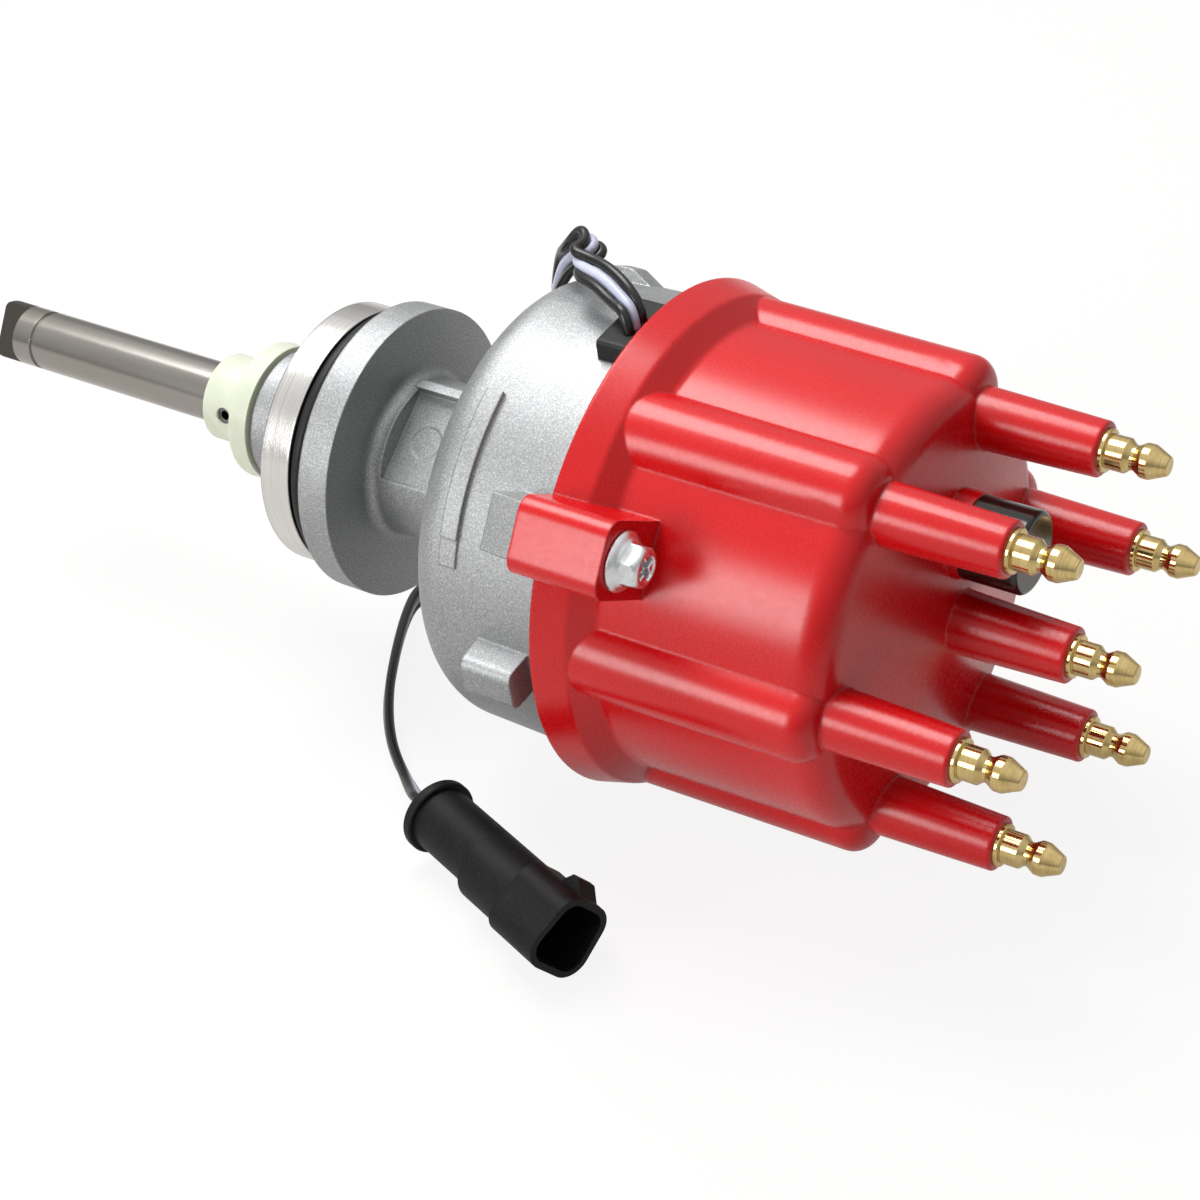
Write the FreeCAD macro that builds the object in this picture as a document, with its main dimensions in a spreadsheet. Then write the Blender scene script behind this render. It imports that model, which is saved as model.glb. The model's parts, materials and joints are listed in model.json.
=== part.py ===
import FreeCAD, Part
import math
import os
import Sketcher

# Ignition distributor with a six-tower cap, in millimetres.
# Every turned or moulded part is drawn in the axis frame: Z runs up the shaft
# towards the cap, X is up off the table and Z = 0 is the flange's seat on the engine.
# LAY turns that frame so that the distributor lies on a table with its shaft along X.

Vector = FreeCAD.Vector
LAY = FreeCAD.Rotation(Vector(1, 0, 1), 180)

SIZES = {
    # drive shaft, measured from the tip of its tang
    "shaft_radius": 6.35,
    "shaft_tip_depth": 104.15,
    "tang_length": 7.2,
    "tang_thickness": 4.4,
    "tang_corner_radius": 1.5,
    "shaft_ring_station": 12.1,
    "shaft_ring_width": 1.2,
    "shaft_ring_depth": 0.35,
    "spindle_radius": 5.0,
    "spindle_start": 54.4,
    "spindle_end": 92.0,
    # nylon collar, washer and roll pin under the housing
    "collar_small_radius": 9.1,
    "collar_small_length": 10.8,
    "collar_flange_radius": 14.2,
    "collar_flange_length": 4.55,
    "washer_radius": 12.0,
    "washer_thickness": 0.8,
    "roll_pin_radius": 1.75,
    "roll_pin_bore": 1.0,
    # housing outside
    "boss_end": 24.7,
    "boss_radius": 13.75,
    "pilot_length": 11.4,
    "pilot_radius": 26.75,
    "groove_top": 1.24,
    "groove_bottom": 4.7,
    "groove_floor_radius": 23.6,
    "ring_proud": 0.18,
    "flange_radius": 29.42,
    "flange_thickness": 6.75,
    "neck_low_radius": 16.0,
    "neck_high_radius": 16.4,
    "neck_root_round": 2.2,
    "bowl_bottom": 35.4,
    "bowl_round": 8.0,
    "bowl_wall": 3.4,
    "bowl_rim_wall": 4.3,
    "bowl_rim_station": 70.5,
    # housing inside
    "bowl_floor": 38.9,
    "bowl_inner_radius": 40.2,
    "bowl_inner_round": 5.0,
    "bushing_radius": 8.6,
    "running_clearance": 0.05,
    "lower_bushing_length": 19.0,
    "upper_bushing_length": 18.0,
    "bushing_flange_radius": 11.0,
    "bushing_flange_thickness": 1.5,
    "post_radius": 4.0,
    "post_height": 5.5,
    "post_ring_radius": 31.0,
    # neck details
    "pad_distance": 11.9,
    "pad_half_width": 9.5,
    "pad_start": 9.6,
    "pad_end": 31.0,
    "mark_radius": 3.3,
    "mark_depth": 0.25,
    "neck_rib_reach": 17.6,
    "neck_rib_width": 4.4,
    # bowl details
    "strip_start": 44.1,
    "strip_width": 3.6,
    "strip_height": 1.3,
    "foot_height": 0.85,
    "lug_beyond_screw": 4.2,
    "lug_taper": 2.0,
    "lug_bottom": 59.6,
    "lug_root": 59.0,
    "lug_tap_start": 62.1,
    "lug_width": 10.4,
    "side_lug_height": 7.2,
    "side_lug_bottom": 53.0,
    "side_lug_top": 63.5,
    "side_lug_width": 8.4,
    "top_lug_height": 2.8,
    "top_lug_bottom": 44.0,
    "top_lug_top": 48.0,
    "top_lug_ramp": 8.0,
    "top_lug_width": 5.0,
    "lug_round": 2.0,
    # lead grommet and the slot it fills
    "slot_bottom": 60.8,
    "slot_half_width": 7.5,
    "grommet_proud": 3.1,
    "grommet_depth": 6.4,
    "grommet_corner": 0.9,
    "grommet_top_inset": 0.9,
    # sensor plate, sensor and shutter wheel
    "plate_clearance": 2.2,
    "plate_hole_radius": 13.0,
    "plate_thickness": 1.6,
    "plate_screw_radius": 1.5,
    "plate_screw_head_radius": 2.9,
    "plate_screw_head_height": 2.0,
    "plate_screw_length": 6.0,
    "sensor_base_height": 3.0,
    "sensor_leg_height": 9.6,
    "sensor_inner": 13.6,
    "sensor_gap_start": 17.6,
    "sensor_gap_end": 21.4,
    "sensor_outer": 26.5,
    "sensor_width": 13.0,
    "wheel_radius": 20.1,
    "wheel_thickness": 1.2,
    "wheel_top": 61.6,
    "wheel_hub_radius": 8.0,
    "vane_bottom": 51.6,
    "window_width": 11.0,
    # rotor
    "rotor_skirt_radius": 25.0,
    "rotor_skirt_height": 5.5,
    "rotor_column_radius": 10.5,
    "rotor_arm_bottom": 93.5,
    "rotor_arm_top": 100.5,
    "rotor_arm_width": 12.0,
    "rotor_arm_reach": 29.0,
    "rotor_tail_reach": 15.0,
    "blade_thickness": 1.6,
    "blade_width": 7.0,
    "blade_tip": 32.2,
    "contact_radius": 4.0,
    "contact_height": 1.9,
    # cap
    "cap_rim": 67.46,
    "cap_rim_wall": 4.3,
    "cap_band_top": 73.9,
    "cap_band_wall": 2.6,
    "panel_bottom": 77.8,
    "panel_low_radius": 43.2,
    "panel_high_radius": 42.3,
    "shoulder_station": 121.4,
    "shoulder_round": 6.0,
    "dome_top": 127.2,
    "skirt_clearance": 0.3,
    "cavity_low_radius": 39.2,
    "cavity_step": 95.0,
    "cavity_high_radius": 37.0,
    "cavity_top": 118.0,
    "brush_boss_radius": 6.2,
    "brush_boss_bottom": 108.0,
    "rib_offset": 38.5,
    "rib_low_radius": 8.7,
    "rib_high_radius": 7.9,
    "rib_round": 4.4,
    "tower_ring_radius": 36.06,
    "tower_root_radius": 5.85,
    "tower_tip_radius": 5.1,
    "tower_tip": 145.16,
    "coil_tower_tip": 149.26,
    "coil_root_radius": 6.0,
    "coil_tip_radius": 5.2,
    "tower_edge": 0.6,
    "ear_bottom": 67.9,
    "ear_top": 86.0,
    "ear_beyond_screw": 6.6,
    "ear_width": 14.0,
    "ear_round": 3.2,
    # cap screws
    "screw_beyond_rim": 3.9,
    "screw_radius": 2.4,
    "screw_hole_radius": 2.8,
    "screw_tip": 62.6,
    "screw_flange_radius": 5.5,
    "screw_flange_thickness": 1.2,
    "screw_hex_across": 7.9,
    "screw_head_height": 6.0,
    "screw_recess_width": 1.2,
    "screw_recess_length": 4.6,
    "screw_recess_depth": 2.0,
    # cap vent
    "vent_offset": 16.4,
    "vent_side": 3.2,
    "vent_radius": 7.75,
    "vent_seat": 128.2,
    "vent_height": 11.3,
    "vent_round": 0.9,
    "vent_stem_radius": 2.5,
    "vent_stem_length": 6.0,
    # plug and coil terminals
    "terminal_stem_radius": 2.2,
    "terminal_flange_radius": 4.05,
    "terminal_flange_height": 0.9,
    "terminal_pin_radius": 3.175,
    "terminal_pin_height": 4.2,
    "terminal_neck_radius": 2.3,
    "terminal_neck_height": 5.2,
    "terminal_bulb_height": 8.0,
    "terminal_height": 11.9,
    "terminal_tip_radius": 1.7,
    "electrode_radius": 3.2,
    "electrode_bottom": 98.0,
    "electrode_top": 116.0,
    "coil_stem_bottom": 124.0,
    # carbon brush and its spring
    "brush_radius": 2.6,
    "brush_clearance": 0.3,
    "brush_bottom": 104.3,
    "brush_top": 114.4,
    "spring_gap": 0.3,
    "spring_radius": 1.9,
    "spring_wire_radius": 0.3,
    "spring_turns": 5.0,
    # lead
    "wire_radius": 1.0,
    "wire_pitch": 2.05,
    "table_height": -49.4,
    # connector, measured from its rear end
    "connector_length": 45.0,
    "connector_rear_radius": 7.4,
    "connector_rear_length": 2.2,
    "connector_body_radius": 6.3,
    "connector_step_start": 19.6,
    "connector_step_radius": 7.0,
    "connector_mouth_start": 32.0,
    "connector_foot_reach": 8.0,
    "connector_crown_reach": 6.7,
    "connector_foot_half_width": 8.0,
    "connector_crown_half_width": 6.2,
    "connector_drop": 0.65,
    "connector_side": 0.8,
    "connector_mouth_round": 4.5,
    "connector_lift": 8.95,
    "connector_wall": 1.3,
    "socket_depth": 19.0,
    "seal_length": 7.0,
    "seal_radius": 4.9,
    "latch_start": 36.5,
    "latch_length": 7.5,
    "latch_height": 2.1,
    "latch_width": 5.0,
    "contact_pin_radius": 0.8,
    "contact_pin_length": 10.0,
    "contact_pin_pitch": 3.4,
}

# Angles about the axis, in degrees, from straight up towards the viewer.
TOWER_ANGLE = 30.0
EAR_ANGLE = 60.0
PAD_ANGLE = 40.0
SIDE_LUG_ANGLE = 98.0
TOP_LUG_ANGLE = -27.0
STRIP_ANGLE = 32.5
STRIP_SWEEP = 36.5
NECK_RIB_ANGLE = 6.0
GROMMET_ANGLE = 7.1
FOOT_SWEEP = 7.0
TANG_ANGLE = 60.0
ROLL_PIN_ANGLE = 81.0
SENSOR_ANGLE = 180.0
ROTOR_ANGLE = 30.0
POST_ANGLE = 90.0

# Centreline of the middle wire on the table frame: from the grommet over the
# bowl's edge, down behind the neck and along the table to the connector.
# Each corner has a point and the side its two neighbours lie on.
LEAD_ROUTE = [
    ((65.2, -6.9, 44.8), (0, 1, 0)),
    ((65.2, -6.9, 49.8), (0, 1, 0)),
    ((60.6, -4.6, 51.4), (0.3, 0.75, 0.6)),
    ((55.2, -2.0, 52.4), (0.3, 0.75, 0.6)),
    ((50.2, 0.0, 52.0), (0.1, 0.75, 0.7)),
    ((46.4, 2.2, 51.8), (-0.3, 0.4, 0.8)),
    ((48.6, 6.2, 53.0), (-0.75, 0.2, 0.6)),
    ((45.2, 9.0, 54.0), (-0.85, -0.1, 0.4)),
    ((42.4, 8.4, 49.4), (-0.85, -0.1, 0.3)),
    ((35.6, 13.6, 43.0), (-0.7, 0.55, 0.35)),
    ((28.8, 19.0, 30.0), (-0.35, 0.9, 0.2)),
    ((22.4, 25.0, 13.0), (0.4, 0.9, 0)),
    ((17.0, 30.0, -5.0), (0.8, 0.6, 0)),
    ((12.5, 31.0, -23.0), (1, 0, 0)),
    ((8.0, 29.5, -37.6), (0.75, -0.55, 0.35)),
    ((1.0, 26.5, -45.0), (0.35, -0.45, 0.85)),
    ((-5.4, 19.8, -46.2), (0.1, -0.1, 1)),
    ((-7.4, 12.2, -46.2), (0.25, 0, 0.97)),
    ((-4.4, 3.8, -46.2), (0.25, 0.1, 0.97)),
    ((2.0, -8.4, -46.2), (0.23, 0.07, 0.97)),
    ((10.2, -22.0, -46.2), (0.2, 0.04, 0.97)),
    ((20.0, -33.6, -46.2), (0, -0.1, 0.97)),
    ((29.8, -41.2, -46.0), (-0.15, -0.3, 0.9)),
    ((36.4, -46.9, -43.4), (-0.2, -0.45, 0.8)),
    ((40.8, -50.4, -40.45), (-0.22, -0.6, 0.77)),
    ((46.4, -52.5, -40.45), (-0.22, -0.6, 0.77)),
]
CONNECTOR_REAR = (44.5, -51.8)
CONNECTOR_TURN = -20.8
CONNECTOR_ROLL = -48.0
LEAD_BEND_SHARE = 0.45


class Size:
    """A sheet value together with the expression that a drawing binds to."""

    def __init__(self, value, text):
        self.value = float(value)
        self.text = text

    def combine(self, other, sign, value):
        text = other.text if isinstance(other, Size) else repr(float(other))
        return Size(value, "(" + self.text + " " + sign + " " + text + ")")

    def __add__(self, other):
        return self.combine(other, "+", self.value + number(other))

    def __sub__(self, other):
        return self.combine(other, "-", self.value - number(other))

    def __mul__(self, other):
        return self.combine(other, "*", self.value * number(other))

    def __neg__(self):
        return self * -1


def number(thing):
    return thing.value if isinstance(thing, Size) else float(thing)


class Sizes:
    """Fills the spreadsheet and hands its values out by name."""

    def __init__(self, doc):
        self.sheet = doc.addObject("Spreadsheet::Sheet", "sizes")
        for row, (name, value) in enumerate(SIZES.items(), start=1):
            self.sheet.set("A%d" % row, name)
            self.sheet.set("B%d" % row, str(value))
            self.sheet.setAlias("B%d" % row, name)
            setattr(self, name, Size(value, "sizes." + name))


doc = FreeCAD.newDocument("distributor")
s = Sizes(doc)
doc.recompute()
NODES = []


def around(angle):
    return math.cos(math.radians(angle)), math.sin(math.radians(angle))


def bind(thing, path, size):
    thing.setExpression(path, size.text)


def lay_down(thing, along, turn=0.0, out=None, side=None):
    """Lay a part drawn in the axis frame on the table, at a station along the shaft."""
    rotation = LAY.multiply(FreeCAD.Rotation(Vector(0, 0, 1), turn))
    base = Vector(number(along), 0 if side is None else number(side), 0 if out is None else number(out))
    thing.Placement = FreeCAD.Placement(base, rotation)
    for path, size in (("x", along), ("y", side), ("z", out)):
        if isinstance(size, Size):
            bind(thing, "Placement.Base." + path, size)


def new_body(label):
    body = doc.addObject("PartDesign::Body", label)
    body.Label = label
    NODES.append(body)
    return body


def origin_plane(body, role):
    for feature in body.Origin.OriginFeatures:
        if feature.Role == role:
            return feature
    raise RuntimeError("no " + role)


def new_sketch(body, role, name, angle=0.0, out=None, height=None):
    """A sketch on an origin plane, turned about the axis and moved out from it or up it."""
    sketch = body.newObject("Sketcher::SketchObject", name)
    sketch.AttachmentSupport = [(origin_plane(body, role), "")]
    sketch.MapMode = "FlatFace"
    turn_axis = Vector(0, 1, 0) if role == "XZ_Plane" else Vector(0, 0, 1)
    offset = FreeCAD.Placement(Vector(0, 0, 0), FreeCAD.Rotation(turn_axis, angle))
    cosine, sine = around(angle)
    if out is not None and role == "XZ_Plane":
        offset.Base = Vector(out.value * cosine, 0, -out.value * sine)
    if height is not None:
        offset.Base = Vector(0, 0, number(height))
    sketch.AttachmentOffset = offset
    if out is not None and role == "XZ_Plane":
        bind(sketch, "AttachmentOffset.Base.x", out * cosine)
        bind(sketch, "AttachmentOffset.Base.z", out * -sine)
    if isinstance(height, Size):
        bind(sketch, "AttachmentOffset.Base.z", height)
    return sketch


def pin_down(sketch, geometry, point, corner):
    """Bind one point of a sketch to its two coordinates."""
    for kind, size, axis in (("DistanceX", corner[0], -2), ("DistanceY", corner[1], -1)):
        if number(size) == 0:
            sketch.addConstraint(Sketcher.Constraint("PointOnObject", geometry, point, axis))
            continue
        index = sketch.addConstraint(
            Sketcher.Constraint(kind, -1, 1, geometry, point, number(size)))
        if isinstance(size, Size):
            bind(sketch, "Constraints[%d]" % index, size)


def tangent_points(before, at, after, radius):
    """Where a round of this radius leaves the two sides that meet at a corner."""
    back = (before - at).normalize()
    ahead = (after - at).normalize()
    half = back.getAngle(ahead) / 2
    reach = radius / math.tan(half)
    centre = at + (back + ahead).normalize() * (radius / math.sin(half))
    return at + back * reach, at + ahead * reach, centre


def outline(sketch, corners):
    """A closed outline through corners (x, y) or (x, y, round radius), bound to the sheet."""
    points = [Vector(number(c[0]), number(c[1]), 0) for c in corners]
    count = len(points)
    start, finish, centres = [], [], []
    for i, corner in enumerate(corners):
        if len(corner) == 3:
            enter, leave, centre = tangent_points(
                points[i - 1], points[i], points[(i + 1) % count], number(corner[2]))
        else:
            enter, leave, centre = points[i], points[i], None
        finish.append(enter)
        start.append(leave)
        centres.append(centre)
    for i in range(count):
        sketch.addGeometry(Part.LineSegment(start[i], finish[(i + 1) % count]), False)
    for i, corner in enumerate(corners):
        before = (i - 1) % count
        if centres[i] is None:
            sketch.addConstraint(Sketcher.Constraint("Coincident", before, 2, i, 1))
            pin_down(sketch, i, 1, corner)
            continue
        enter, leave = finish[i] - centres[i], start[i] - centres[i]
        turns_left = enter.cross(leave).z > 0
        first, last = (enter, leave) if turns_left else (leave, enter)
        low = math.atan2(first.y, first.x)
        high = math.atan2(last.y, last.x)
        if high < low:
            high += 2 * math.pi
        circle = Part.Circle(centres[i], Vector(0, 0, 1), number(corner[2]))
        arc = sketch.addGeometry(Part.ArcOfCircle(circle, low, high), False)
        enter_end, leave_end = (1, 2) if turns_left else (2, 1)
        sketch.addConstraint(Sketcher.Constraint("Tangent", before, 2, arc, enter_end))
        sketch.addConstraint(Sketcher.Constraint("Tangent", arc, leave_end, i, 1))
        index = sketch.addConstraint(Sketcher.Constraint("Radius", arc, number(corner[2])))
        if isinstance(corner[2], Size):
            bind(sketch, "Constraints[%d]" % index, corner[2])
        mark = sketch.addGeometry(Part.Point(points[i]), True)
        sketch.addConstraint(Sketcher.Constraint("PointOnObject", mark, 1, before))
        sketch.addConstraint(Sketcher.Constraint("PointOnObject", mark, 1, i))
        pin_down(sketch, mark, 1, corner)
    return sketch


def round_hole(sketch, radius, x=0.0, y=0.0):
    circle = sketch.addGeometry(
        Part.Circle(Vector(number(x), number(y), 0), Vector(0, 0, 1), number(radius)), False)
    index = sketch.addConstraint(Sketcher.Constraint("Radius", circle, number(radius)))
    bind(sketch, "Constraints[%d]" % index, radius)
    pin_down(sketch, circle, 3, (x, y))
    return sketch


def turned(body, name, corners, angle=0.0, out=None, sweep=360.0, kind="Revolution"):
    """Turn an outline drawn as (radius, height) about the axis, or about one beside it."""
    sketch = outline(new_sketch(body, "XZ_Plane", name + "_outline", angle, out), corners)
    feature = body.newObject("PartDesign::" + kind, name)
    feature.Profile = sketch
    feature.ReferenceAxis = (sketch, ["V_Axis"])
    feature.Angle = sweep
    sketch.Visibility = False
    return feature


def extruded(body, name, sketch, length, kind="Pad", both_ways=False, reverse=False):
    feature = body.newObject("PartDesign::" + kind, name)
    feature.Profile = sketch
    feature.Length = number(length)
    if isinstance(length, Size):
        bind(feature, "Length", length)
    if both_ways:
        feature.SideType = "Symmetric"
    feature.Reversed = reverse
    sketch.Visibility = False
    return feature


def polar(body, name, features, count):
    """Repeat features evenly round the body's axis."""
    pattern = body.newObject("PartDesign::PolarPattern", name)
    pattern.Originals = features
    pattern.Axis = (origin_plane(body, "Z_Axis"), [""])
    pattern.Angle = 360
    pattern.Occurrences = count
    body.Tip = pattern
    return pattern


def rounded(body, name, base, radius, wanted):
    """Round the edges of a feature that the test picks out."""
    doc.recompute()
    edges = ["Edge%d" % (i + 1) for i, edge in enumerate(base.Shape.Edges) if wanted(edge)]
    feature = body.newObject("PartDesign::Fillet", name)
    feature.Base = (base, edges)
    feature.Radius = number(radius)
    bind(feature, "Radius", radius)
    body.Tip = feature
    return feature


def runs_along_axis(edge):
    direction = edge.tangentAt(edge.FirstParameter)
    return len(edge.Vertexes) == 2 and abs(direction.z) > 0.999


def reach_of(edge):
    middle = edge.CenterOfMass
    return math.hypot(middle.x, middle.y)


def side_block(body, name, angle, profile, width):
    """A block on the bowl or cap: its side profile (radius, height) given an even width."""
    sketch = outline(new_sketch(body, "XZ_Plane", name + "_side", angle), profile)
    return extruded(body, name, sketch, width, both_ways=True)


def polygon(sketch, corners):
    """A closed outline given by corner points (x, y), all of them sharp."""
    return outline(sketch, corners)


# Housing: boss, pilot and flange, neck and bowl


def bowl_radius():
    return s.bowl_inner_radius + s.bowl_wall


def bowl_rim_radius():
    return s.bowl_inner_radius + s.bowl_rim_wall


def housing():
    body = new_body("housing")
    below = s.boss_end * -1
    turned(body, "casting", [
        (s.bushing_radius, below),
        (s.boss_radius, below),
        (s.boss_radius, s.pilot_length * -1),
        (s.pilot_radius, s.pilot_length * -1),
        (s.pilot_radius, s.groove_bottom * -1),
        (s.groove_floor_radius, s.groove_bottom * -1),
        (s.groove_floor_radius, s.groove_top * -1),
        (s.pilot_radius, s.groove_top * -1),
        (s.pilot_radius, 0),
        (s.flange_radius, 0),
        (s.flange_radius, s.flange_thickness),
        (s.neck_low_radius, s.flange_thickness, s.neck_root_round),
        (s.neck_high_radius, s.bowl_bottom),
        (bowl_radius(), s.bowl_bottom, s.bowl_round),
        (bowl_rim_radius(), s.bowl_rim_station),
        (s.bowl_inner_radius + 0.6, s.bowl_rim_station),
        (s.bowl_inner_radius, s.bowl_floor, s.bowl_inner_round),
        (s.bushing_radius, s.bowl_floor),
    ])
    side_block(body, "neck_rib", NECK_RIB_ANGLE, [
        (s.bushing_radius + 2.0, s.pad_start),
        (s.neck_rib_reach, s.pad_start),
        (s.neck_rib_reach, s.bowl_bottom + 1.0),
        (s.bushing_radius + 2.0, s.bowl_bottom + 1.0),
    ], s.neck_rib_width)
    neck_pad(body)
    bowl_strip(body)
    lugs(body)
    posts(body)
    grommet_slot(body)
    lay_down(body, 0.0)


def neck_pad(body):
    """A flat let into the neck, with the round mark of the ejector pin on it."""
    width = s.pad_half_width
    past_neck = s.neck_high_radius + 4.5
    flat = new_sketch(body, "XY_Plane", "neck_flat_plan", PAD_ANGLE, height=s.pad_start)
    polygon(flat, [
        (s.pad_distance, width * -1),
        (past_neck, width * -1),
        (past_neck, width),
        (s.pad_distance, width),
    ])
    extruded(body, "neck_flat", flat, s.pad_end - s.pad_start, "Pocket", reverse=True)
    middle = s.pad_start + s.mark_radius + 2.6
    turned_mark(body, middle)


def turned_mark(body, height):
    """The ejector mark: a shallow round sink in the neck's flat."""
    sketch = new_sketch(body, "YZ_Plane", "ejector_mark_plan")
    cosine, sine = around(PAD_ANGLE)
    turn = FreeCAD.Rotation(Vector(0, 1, 0), PAD_ANGLE)
    depth = s.pad_distance - s.mark_depth
    base = Vector(depth.value * sine, 0, depth.value * cosine)
    sketch.AttachmentOffset = FreeCAD.Placement(base, turn)
    bind(sketch, "AttachmentOffset.Base.x", depth * sine)
    bind(sketch, "AttachmentOffset.Base.z", depth * cosine)
    round_hole(sketch, s.mark_radius, 0.0, height)
    extruded(body, "ejector_mark", sketch, s.mark_depth + 1.0, "Pocket", reverse=True)


def bowl_strip(body):
    """A raised strip part of the way round the bowl, with a lower foot at its end."""
    inner = bowl_radius() - 2.0
    for name, height, start, sweep in (
            ("bowl_strip", s.strip_height, STRIP_ANGLE, STRIP_SWEEP),
            ("strip_foot", s.foot_height, STRIP_ANGLE + STRIP_SWEEP, FOOT_SWEEP)):
        turned(body, name, [
            (inner, s.strip_start),
            (bowl_radius() + height, s.strip_start),
            (bowl_radius() + height, s.strip_start + s.strip_width),
            (inner, s.strip_start + s.strip_width),
        ], start, sweep=sweep)


def lugs(body):
    """Two screw lugs under the cap's ears, a block beside one and a low one on top."""
    root = bowl_radius() - 1.5
    reach = screw_ring_radius() + s.lug_beyond_screw
    beside_rim = cap_rim_radius() + s.skirt_clearance
    screw_lug = side_block(body, "screw_lug", EAR_ANGLE, [
        (root, s.lug_root),
        (reach - s.lug_taper, s.lug_bottom),
        (reach, s.ear_bottom),
        (beside_rim, s.ear_bottom),
        (beside_rim, s.cap_rim),
        (root, s.cap_rim),
    ], s.lug_width)
    polar(body, "screw_lugs", [screw_lug], 2)
    plan = new_sketch(body, "XY_Plane", "screw_tap_plan", EAR_ANGLE, height=s.lug_tap_start)
    round_hole(plan, s.screw_radius, screw_ring_radius(), 0.0)
    tap = extruded(body, "screw_tap", plan, s.ear_bottom - s.lug_tap_start + 1.0, "Pocket",
                   reverse=True)
    polar(body, "screw_taps", [tap], 2)
    side_reach = bowl_radius() + s.side_lug_height
    side = side_block(body, "side_lug", SIDE_LUG_ANGLE, [
        (root, s.side_lug_bottom - 1.0),
        (side_reach, s.side_lug_bottom),
        (side_reach, s.side_lug_top),
        (root, s.side_lug_top),
    ], s.side_lug_width)
    low = side_reach.value - 1.0
    rounded(body, "side_lug_edges", side, s.lug_round,
            lambda e: low < reach_of(e) < low + 3.0 and near_angle(e, SIDE_LUG_ANGLE, 8.0)
            and s.side_lug_bottom.value - 0.5 < e.CenterOfMass.z < s.side_lug_top.value + 0.5
            and runs_along_axis(e))
    top_reach = bowl_radius() + s.top_lug_height
    side_block(body, "top_lug", TOP_LUG_ANGLE, [
        (root, s.top_lug_bottom - s.top_lug_ramp),
        (top_reach, s.top_lug_bottom, 3.0),
        (top_reach, s.top_lug_top, 3.0),
        (root, s.top_lug_top + s.top_lug_ramp),
    ], s.top_lug_width)


def near_angle(edge, angle, tolerance):
    middle = edge.CenterOfMass
    cosine, sine = around(angle)
    along = middle.x * cosine + middle.y * sine
    across = middle.y * cosine - middle.x * sine
    return along > 0 and abs(math.degrees(math.atan2(across, along))) < tolerance


def posts(body):
    """Two posts on the bowl's floor that carry the sensor plate."""
    plan = new_sketch(body, "XY_Plane", "post_plan", POST_ANGLE, height=s.bowl_floor - 1.0)
    round_hole(plan, s.post_radius, s.post_ring_radius, 0.0)
    post = extruded(body, "post", plan, s.post_height + 1.0)
    polar(body, "posts", [post], 2)
    hole = new_sketch(body, "XY_Plane", "post_tap_plan", POST_ANGLE,
                      height=s.bowl_floor + s.post_height)
    round_hole(hole, s.plate_screw_radius, s.post_ring_radius, 0.0)
    tap = extruded(body, "post_tap", hole, s.plate_screw_length, "Pocket")
    polar(body, "post_taps", [tap], 2)


def grommet_slot(body):
    """The slot in the bowl's rim that the lead grommet fills."""
    plan = new_sketch(body, "XY_Plane", "grommet_slot_plan", GROMMET_ANGLE, height=s.slot_bottom)
    across = s.slot_half_width
    polygon(plan, [
        (s.bowl_inner_radius - 6.0, across * -1),
        (bowl_rim_radius() + 4.0, across * -1),
        (bowl_rim_radius() + 4.0, across),
        (s.bowl_inner_radius - 6.0, across),
    ])
    extruded(body, "grommet_slot", plan, s.bowl_rim_station - s.slot_bottom + 1.0, "Pocket",
             reverse=True)


# Bushings, O-ring and the pieces inside the bowl


def bushings():
    bore = s.shaft_radius + s.running_clearance
    lower = new_body("lower_bushing")
    turned(lower, "sleeve", [
        (bore, 0),
        (s.bushing_radius, 0),
        (s.bushing_radius, s.lower_bushing_length),
        (bore, s.lower_bushing_length),
    ])
    lay_down(lower, s.boss_end * -1)
    upper = new_body("upper_bushing")
    turned(upper, "sleeve", [
        (bore, 0),
        (s.bushing_radius, 0),
        (s.bushing_radius, s.upper_bushing_length),
        (s.bushing_flange_radius, s.upper_bushing_length),
        (s.bushing_flange_radius, s.upper_bushing_length + s.bushing_flange_thickness),
        (bore, s.upper_bushing_length + s.bushing_flange_thickness),
    ])
    lay_down(upper, s.bowl_floor - s.upper_bushing_length)


def pilot_o_ring():
    """The ring's section is round but pressed flat against the groove's floor."""
    body = new_body("pilot_o_ring")
    height = s.groove_bottom - s.groove_top
    outer = s.pilot_radius + s.ring_proud
    turned(body, "ring", [
        (s.groove_floor_radius, height * 0.06, 0.5),
        (outer, height * 0.06, 1.45),
        (outer, height * 0.94, 1.45),
        (s.groove_floor_radius, height * 0.94, 0.5),
    ])
    lay_down(body, s.groove_bottom * -1)


def sensor_plate():
    body = new_body("sensor_plate")
    plan = new_sketch(body, "XY_Plane", "plate_plan")
    round_hole(plan, s.bowl_inner_radius - s.plate_clearance)
    round_hole(plan, s.plate_hole_radius)
    extruded(body, "plate", plan, s.plate_thickness)
    hole = new_sketch(body, "XY_Plane", "plate_hole_plan", POST_ANGLE, height=s.plate_thickness)
    round_hole(hole, s.plate_screw_radius, s.post_ring_radius, 0.0)
    screw_hole = extruded(body, "plate_hole", hole, s.plate_thickness, "Pocket")
    polar(body, "plate_holes", [screw_hole], 2)
    lay_down(body, s.bowl_floor + s.post_height)


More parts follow.
